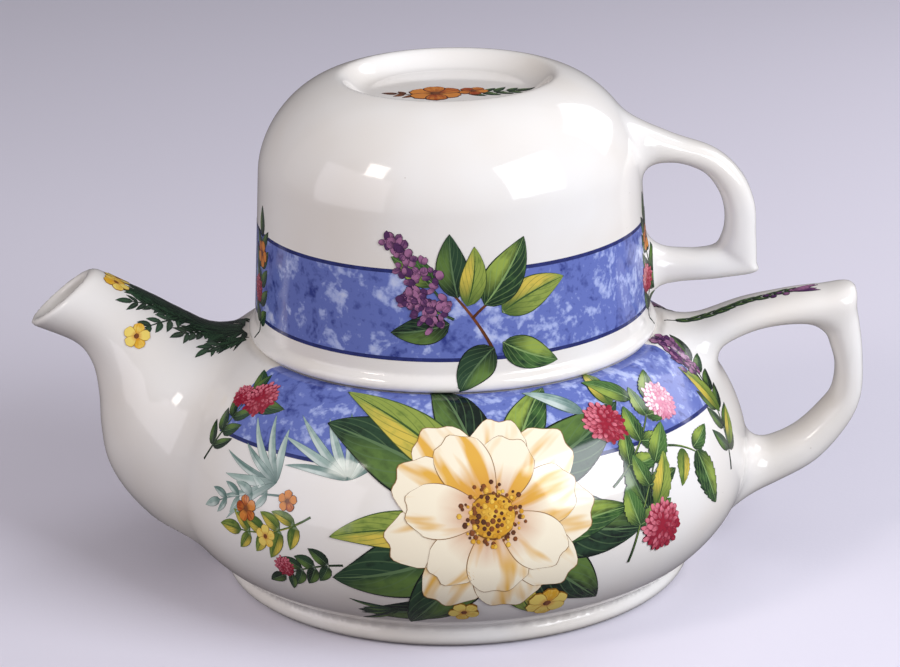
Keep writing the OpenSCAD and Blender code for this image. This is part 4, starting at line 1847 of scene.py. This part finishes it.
@dataclass
class TeapotPrint:
    """The flowers and the sponged shoulder of the pot."""

    pot: Teapot
    shoulder_rises: Pair = (21.4, 42.6)
    shoulder_turns: Pair = (-57.0, 70.0)
    line_w: float = 0.9
    band_lift: float = 0.04
    line_lift: float = 0.045
    lip_overlap: float = 2.0

    def paint(self, inks: dict[str, Material]) -> None:
        """Paints both sides of the pot, its spout and its handle."""
        painter = Painter("teapot", self.pot.form, inks)
        steps = self.pot.curve_steps
        under_lip = [[self.pot.collar_r + self.lip_overlap, self.pot.pot_h]]
        shoulder = bezier(self.pot.upper_curve(), steps)[1:]
        outline = np.concatenate([bezier(self.pot.lower_curve(), steps), shoulder, under_lip])
        chart = RoundChart(outline, self.pot.belly_z)
        low, high = self.shoulder_rises
        for flip in (False, True):
            turns = self.shoulder_turns
            if flip:
                turns = (180 - turns[1], 180 - turns[0])
            painter.band(SpongedBand.name, chart, turns, (low, high), self.band_lift)
            painter.band(Ink.NAVY.value.name, chart, turns, (low - self.line_w, low), self.line_lift)
            self.side(painter, chart, flip)
            self.spout(painter, flip)
        self.handle(painter)
        painter.finish()

    def side(self, painter: Painter, chart: RoundChart, flip: bool) -> None:
        """Paints one side: a large bloom among leaves, with smaller blossoms round it."""
        draw = Botanist(11 if flip else 7)

        def lay(place: Triple, *drawn: list[Stroke]) -> None:
            """Lays what was drawn at a turn, a rise and a tilt on this side."""
            spot = RoundSpot(chart, *place, flip)
            painter.spray(spot, [stroke for strokes in drawn for stroke in strokes])

        dark, mid, light, sage = Ink.DARK_LEAF, Ink.MID_LEAF, Ink.LIGHT_LEAF, Ink.SAGE
        round_bloom = (
            (dark, -6, 6, 156, 34, 18, 0.16, 26),
            (dark, -6, -6, 198, 33, 17, 0.18, -22),
            (dark, -2, -8, 236, 29, 15, 0.2, 26),
            (dark, 6, -8, 316, 27, 15, 0.17, -20),
            (dark, 8, 0, 344, 30, 15, 0.19, 18),
            (dark, 6, 8, 26, 31, 15, 0.16, 18),
            (dark, -2, 10, 108, 27, 12, 0.15, 14),
            (light, -6, 8, 140, 33, 12, 0.22, 36),
            (light, -8, -4, 184, 30, 9, 0.225, 30),
            (light, 4, -12, 290, 18, 7.5, 0.23, 20),
            (mid, 6, 12, 64, 21, 10, 0.21, -16),
            (mid, 10, -6, 8, 24, 9, 0.22, -20),
        )
        lay((6.5, 10.5, 0.0), draw.leaves(round_bloom), draw.bloom(0, 0, 24.0, 0.27))
        lay((15.5, -14.0, 0.0), draw.star(Ink.YELLOW, 2, 0, 5.0, 0.5, 6))
        lay((1.0, -15.0, 0.0), draw.star(Ink.YELLOW, 0, 0, 3.6, 0.5, 5))
        between_buttons = (
            (light, -4, 8, 74, 12, 5, 0.31, -24),
            (mid, 2, 7, 128, 12, 5.4, 0.32, 20),
            (sage, -12, 9, 130, 13, 4.4, 0.24, 26),
        )
        lay(
            (43.0, 24.0, 8),
            draw.twig(mid, -16, -9, 32, 26, (9.5, 5.2), 3, 0.25, saw=True),
            draw.leaves(between_buttons),
            draw.button(Ink.RED, -9, 5, 5.4, 0.35),
            draw.button(Ink.PINK, 9.5, 3.0, 5.0, 0.35),
        )
        lay(
            (38.0, 3.0, 0.0),
            draw.twig(mid, -6, -9, 64, 24, (10.5, 6.0), 2, 0.26, bend=-26, saw=True),
            draw.leaves([(light, 2, 3, 62, 13, 6, 0.33, 26), (dark, 0, 2, 104, 14, 7, 0.24, -20)], saw=True),
            draw.button(Ink.RED, 3.5, -2.0, 6.0, 0.38),
        )
        under_buttons = (
            (mid, 2, 2, 286, 15, 8.4, 0.12, 20),
            (light, -3, 4, 244, 9, 4.6, 0.11, -16),
            (mid, 1, 3, 20, 9, 4.8, 0.10, 14),
        )
        stem = Stroke(mid, Shape.STEM, -7, 6, 330, 12, 0.6, -30, 0.3, 0.08)
        lay((53.0, 12.0, 0.0), [stem], draw.leaves(under_buttons, saw=True))
        lay(
            (-24.0, 26.0, -6),
            draw.fan(sage, 4, -8, 118, 130, 17, 8, 0.06, 2.3),
            draw.fan(sage, 9, -5, 66, 70, 12, 4, 0.08, 2.2),
        )
        lay(
            (-42.0, 17.0, 10),
            draw.fan(sage, 6, -4, 150, 120, 15, 8, 0.06, 2.1),
            draw.twig(sage, 8, -7, 186, 20, (6.5, 2.2), 4, 0.07, spread=34, bend=22),
        )
        lay(
            (-35.0, 5.5, 4),
            draw.twig(light, 9, 2, 196, 21, (7.5, 3.6), 4, 0.08, bend=-34),
            draw.star(Ink.ORANGE, -9.5, 1.5, 3.2, 0.14),
            draw.star(Ink.YELLOW, -3.5, -4.0, 2.8, 0.14),
            draw.star(Ink.ORANGE, 2.5, 5.0, 2.6, 0.14),
        )
        lay(
            (-27.0, -6.5, -14),
            draw.twig(dark, 6, 6, 214, 17, (6.5, 3.2), 4, 0.07, bend=26),
            draw.button(Ink.RED, -8.5, -1, 2.8, 0.14),
        )
        lay(
            (-54.0, 27.0, -20),
            draw.twig(dark, 0, -15, 96, 19, (7, 3.0), 4, 0.09),
            draw.leaves([(dark, 1, 4, 24, 10, 4.4, 0.12, 20), (dark, 0, 5, 150, 9, 4, 0.12)]),
            draw.button(Ink.RED, 1.5, 5.5, 4.8, 0.16),
            draw.button(Ink.RED, -4.0, 2.2, 3.0, 0.15),
        )
        lay(
            (69.0, 18.0, -28),
            draw.twig(dark, 3, -14, 98, 28, (8.5, 3.8), 5, 0.10, bend=-16),
            draw.leaves([(light, 1, 0, 128, 15, 5.4, 0.16, 18), (light, 2, -8, 72, 11, 4.2, 0.16)]),
            draw.spike(-2, 8, 104, 15, 3.8, 0.2),
        )
        lay(
            (-5.0, -14.0, 6),
            draw.leaves([(dark, 8, 1, 184, 26, 9, 0.07, -22)]),
            draw.fan(dark, -8, 0, 186, 50, 10, 4, 0.08),
        )

    def spout(self, painter: Painter, flip: bool) -> None:
        """Paints yellow flowers among dark foliage along the top of the spout."""
        draw = Botanist(23 if flip else 19)
        side = FlatSpot((-70.0, -6.0, 67.0), (0.87, 0.0, -0.42), (0.15, -0.75, 0.62), flip)
        fronds = (
            (-4, 6, 194, 8),
            (1, 5, 212, 10),
            (6, 5, 232, 14),
            (8, 6, 208, 9),
            (12, 5, 236, 9),
            (17, 5, 250, 10),
            (21, 4, 236, 8),
        )
        strokes = []
        for i, frond in enumerate(fronds):
            strokes += draw.twig(Ink.FOREST, *frond, (4.6, 1.6), 4, 0.05 + 0.012 * i, bend=-16, spread=34)
        strokes += draw.star(Ink.YELLOW, -13, 4.4, 3.6, 0.2) + draw.star(Ink.YELLOW, -3.5, -8.5, 3.2, 0.2)
        painter.spray(side, strokes)
        top = FlatSpot((-64.0, -2.0, 67.5), (0.9, 0.0, -0.38), (0.35, -0.3, 0.88), flip)
        strokes = []
        for i in range(8):
            place, angle, length = (-9 + 3.4 * i, 1), 188 + 18 * (i % 2), 5 + 0.7 * i
            strokes += draw.fan(Ink.FOREST, *place, angle, 110, length, 7, 0.05 + 0.01 * i, 1.7)
        painter.spray(top, strokes)

    def handle(self, painter: Painter) -> None:
        """Paints a strip of leaves along the crest of the handle."""
        draw = Botanist(29)
        place = FlatSpot((72.5, -0.8, 65.5), (0.98, 0.0, 0.2), (-0.1, -0.12, 0.98))
        strokes = draw.twig(Ink.DARK_LEAF, -21, -0.4, 3, 31, (4.6, 1.7), 11, 0.05, bend=4, spread=22)
        strokes += draw.fan(Ink.PURPLE, 10, 0.5, 4, 40, 6, 5, 0.12)
        for i in range(5):
            strokes.append(draw.disc(Ink.PURPLE, 4 + 1.6 * i, 0.8 * (-1) ** i, 0.9, 0.2 * i, 0.14))
        painter.spray(place, strokes)


@dataclass
class CupPrint:
    """The sponged band and the sprigs of the cup."""

    cup: Cup
    band_rises: Pair = (7.8, 28.4)
    band_turns: Pair = (-256.0, 76.0)
    line_w: float = 0.9
    band_lift: float = 0.03
    line_lift: float = 0.04
    sprig_turns: tuple[float, ...] = (4.0, 184.0)
    sprig_rise: float = 14.6
    edge_turns: tuple[float, ...] = (-74.0, 79.0, -110.0)
    edge_rise: float = 14.0

    def paint(self, inks: dict[str, Material]) -> None:
        """Paints the cup."""
        painter = Painter("cup", self.cup.form, inks)
        outline = self.cup.outer_outline() + [0.0, self.cup.lip_z]
        chart = RoundChart(outline[1 : -self.cup.curve_steps - 1], self.cup.lip_z + self.cup.neck_h)
        low, high = (rise - self.cup.neck_h for rise in self.band_rises)
        painter.band(SpongedBand.name, chart, self.band_turns, (low, high), self.band_lift)
        for edge in (low, high):
            line = (edge - self.line_w / 2, edge + self.line_w / 2)
            painter.band(Ink.NAVY.value.name, chart, self.band_turns, line, self.line_lift)
        for turn in self.sprig_turns:
            self.sprig(painter, RoundSpot(chart, turn, self.sprig_rise))
        for turn in self.edge_turns:
            self.edge_sprig(painter, RoundSpot(chart, turn, self.edge_rise))
        self.foot(painter)
        painter.finish()

    def sprig(self, painter: Painter, spot: RoundSpot) -> None:
        """Paints plum blossoms and broad leaves across the band."""
        draw = Botanist(41)
        leaves = (
            (Ink.DARK_LEAF, 6, -8, 232, 13.4, 8.4, 0.10, 22),
            (Ink.LIGHT_LEAF, 8, 0, 22, 17, 8.4, 0.10, -24),
            (Ink.MID_LEAF, 4, 2, 58, 18, 9.4, 0.12, 18),
            (Ink.DARK_LEAF, -2, 4, 96, 15, 7.6, 0.13, -16),
            (Ink.LIGHT_LEAF, 0, 2, 82, 14, 6.2, 0.14, 24),
            (Ink.DARK_LEAF, -4, -2, 190, 14, 7.0, 0.10, -18),
            (Ink.MID_LEAF, 8, -7, 336, 15, 7.6, 0.11, 16),
            (Ink.MID_LEAF, -7, 7, 148, 12, 6.0, 0.12, 14),
        )
        strokes = [
            Stroke(Ink.BROWN, Shape.STEM, 6, -9, 128, 26, 0.8, 26, 0.5, 0.06),
            Stroke(Ink.BROWN, Shape.STEM, 1.2, -0.9, 36, 12.6, 0.7, -22, 0.5, 0.065),
        ]
        strokes += draw.leaves(leaves)
        strokes += draw.spike(-6, 4, 132, 18, 5.4, 0.16) + draw.spike(-3, -1, 158, 12, 4.6, 0.2)
        painter.spray(spot, strokes)

    def edge_sprig(self, painter: Painter, spot: RoundSpot) -> None:
        """Paints an upright sprig beside the handle or at the side of the cup."""
        draw = Botanist(53 + int(spot.turn) % 7)
        strokes = draw.twig(Ink.DARK_LEAF, 0, -16, 88, 26, (7.5, 3.6), 5, 0.07, bend=8)
        strokes += draw.star(Ink.ORANGE, 1.5, 6, 3.4, 0.14) + draw.button(Ink.RED, -1.5, -3.5, 3.4, 0.14)
        painter.spray(spot, strokes)

    def foot(self, painter: Painter) -> None:
        """Paints a small blossom inside the foot ring."""
        draw = Botanist(61)
        top = self.cup.lip_z + self.cup.height - self.cup.recess
        place = FlatSpot((0.0, -4.0, top), (1.0, 0.0, 0.0), (0.0, 0.0, 1.0))
        strokes = draw.twig(Ink.DARK_LEAF, 2, 0, 8, 14, (5, 2.2), 4, 0.05, bend=10)
        strokes += draw.twig(Ink.BROWN, -2, -1, 170, 10, (4, 1.8), 3, 0.06, bend=-10)
        strokes += draw.star(Ink.ORANGE, -3, 0.5, 6.4, 0.12, 6) + draw.star(Ink.ORANGE, 6, 2.0, 3.6, 0.13)
        painter.spray(place, strokes)


# Camera, light and floor


@dataclass(frozen=True)
class Lamp:
    """A square soft lamp: its place and aim in metres, its side, its power in watts and its colour."""

    name: str
    place: Triple
    aim: Triple
    side: float
    power: float
    colour: str


@dataclass
class Studio:
    """The camera at the photograph's angle, plain soft lamps and a pale floor."""

    frame_w: int = 900
    frame_h: int = 667
    elevation: float = 18.86
    roll: float = -1.2
    distance: float = 0.7
    target_z: float = 0.06
    focal_px: float = 2864.4
    centre_px: Pair = (452.9, 324.6)
    sensor: float = 36.0
    near_clip: float = 0.02
    floor_colour: str = "#ebe7f3"
    bounce_colour: str = "#6b656c"
    world_colour: str = "#f1f0f4"
    world_strength: float = 0.31
    lamps: tuple[Lamp, ...] = (
        Lamp("key_lamp", (0.76, -0.56, 0.56), (0.0, 0.0, 0.06), 0.66, 10.6, "#f5f8ff"),
        Lamp("window_lamp", (-0.6, -0.5, 0.66), (0.0, 0.0, 0.09), 0.19, 1.5, "#fff6ee"),
        Lamp("rim_lamp", (0.62, 0.42, 0.5), (0.0, 0.0, 0.06), 0.45, 2.0, "#f6f5ff"),
        Lamp("left_fill", (-1.0, -0.54, 0.24), (0.0, 0.0, 0.06), 1.0, 5.0, "#f8f3fb"),
    )

    def camera(self) -> Piece:
        """Places the camera and makes it the scene's own."""
        lens = bpy.data.cameras.new("camera")
        lens.sensor_width = self.sensor
        lens.lens = self.focal_px * self.sensor / self.frame_w
        lens.shift_x = (self.frame_w / 2 - self.centre_px[0]) / self.frame_w
        lens.shift_y = (self.centre_px[1] - self.frame_h / 2) / self.frame_w
        lens.clip_start = self.near_clip
        made = bpy.data.objects.new("camera", lens)
        bpy.context.scene.collection.objects.link(made)
        up_angle, roll = math.radians(self.elevation), math.radians(self.roll)
        back = Vector((0, -math.cos(up_angle), math.sin(up_angle)))
        level = Vector((1, 0, 0))
        rise = Vector((0, math.sin(up_angle), math.cos(up_angle)))
        right = math.cos(roll) * level + math.sin(roll) * rise
        upward = -math.sin(roll) * level + math.cos(roll) * rise
        place = Vector((0, 0, self.target_z)) + back * self.distance
        turned = Matrix((right, upward, back)).transposed().to_4x4()
        made.matrix_world = Matrix.Translation(place) @ turned
        bpy.context.scene.camera = made
        return made

    def light(self) -> None:
        """Adds the lamps and the world."""
        for lamp in self.lamps:
            data = bpy.data.lights.new(lamp.name, "AREA")
            data.size = lamp.side
            data.energy = lamp.power
            data.color = linear(lamp.colour)[:3]
            made = bpy.data.objects.new(lamp.name, data)
            made.location = lamp.place
            aim = Vector(lamp.aim) - Vector(lamp.place)
            made.rotation_euler = aim.to_track_quat("-Z", "Y").to_euler()
            bpy.context.scene.collection.objects.link(made)
        world = bpy.data.worlds.new("studio")
        world.use_nodes = True
        shade = world.node_tree.nodes["Background"]
        shade.inputs["Color"].default_value = linear(self.world_colour)
        shade.inputs["Strength"].default_value = self.world_strength
        bpy.context.scene.world = world

    def floor(self) -> None:
        """Adds the pale floor, which sweeps up into a backdrop far behind."""
        half, front, depth, rise, bend, steps = 3.0, -2.5, 1.6, 2.2, 0.5, 16
        outline = [(front, 0.0), (depth - bend, 0.0)]
        for i in range(1, steps + 1):
            turn = math.radians(90 * i / steps)
            outline.append((depth - bend + bend * math.sin(turn), bend - bend * math.cos(turn)))
        outline.append((depth, rise))
        points = [(x, y, z) for x in (-half, half) for y, z in outline]
        count = len(outline)
        faces = [(i, i + 1, count + i + 1, count + i) for i in range(count - 1)]
        mesh = bpy.data.meshes.new("floor")
        mesh.from_pydata(points, [], faces)
        mesh.polygons.foreach_set("use_smooth", [True] * len(mesh.polygons))
        made = bpy.data.objects.new("floor", mesh)
        bpy.context.scene.collection.objects.link(made)
        mesh.materials.append(self.card())

    def card(self) -> Material:
        """Builds the floor's matt card, which throws back less light than the camera sees on it."""
        grains_per_metre, grain_depth, strength, roughness = 900.0, 0.0002, 0.15, 0.8
        made, tree, shader = start_material("matt card")
        place = add_node(tree, COORDS).outputs["Object"]
        grain = add_node(tree, NOISE, {"Scale": grains_per_metre, "Detail": 2.0}, {"Vector": place})
        bump = add_node(
            tree, "ShaderNodeBump", {"Strength": strength, "Distance": grain_depth}, {"Height": grain}
        )
        seen = add_node(tree, "ShaderNodeLightPath").outputs["Is Camera Ray"]
        colours = {BELOW: linear(self.bounce_colour), ABOVE: linear(self.floor_colour)}
        colour = add_node(tree, MIX, COLOURS | colours, {0: seen})
        tree.links.new(colour.outputs[MIXED], shader.inputs["Base Color"])
        tree.links.new(bump.outputs[0], shader.inputs["Normal"])
        shader.inputs["Roughness"].default_value = roughness
        return made


def main() -> None:
    """Loads the frame, dresses the three pieces, and sets the camera and the light."""
    logging.basicConfig(level=logging.INFO, format="%(name)s %(message)s")
    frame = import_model()
    scene = bpy.context.scene
    scene.view_settings.view_transform = "Standard"
    studio = Studio()
    studio.camera()
    studio.light()
    studio.floor()
    glaze = PorcelainGlaze().material()
    inks = {ink.value.name: ink.value.material() for ink in Ink}
    inks[SpongedBand.name] = SpongedBand().material()
    pot = Teapot()
    pot.build(glaze)
    TeapotPrint(pot).paint(inks)
    cup = Cup()
    cup.build(glaze)
    CupPrint(cup).paint(inks)
    lid = frame["nodes"]["lid"]
    lid.data.materials.clear()
    lid.data.materials.append(glaze)
    log.info("lid: its solid, glazed")


if __name__ == "__main__":
    main()
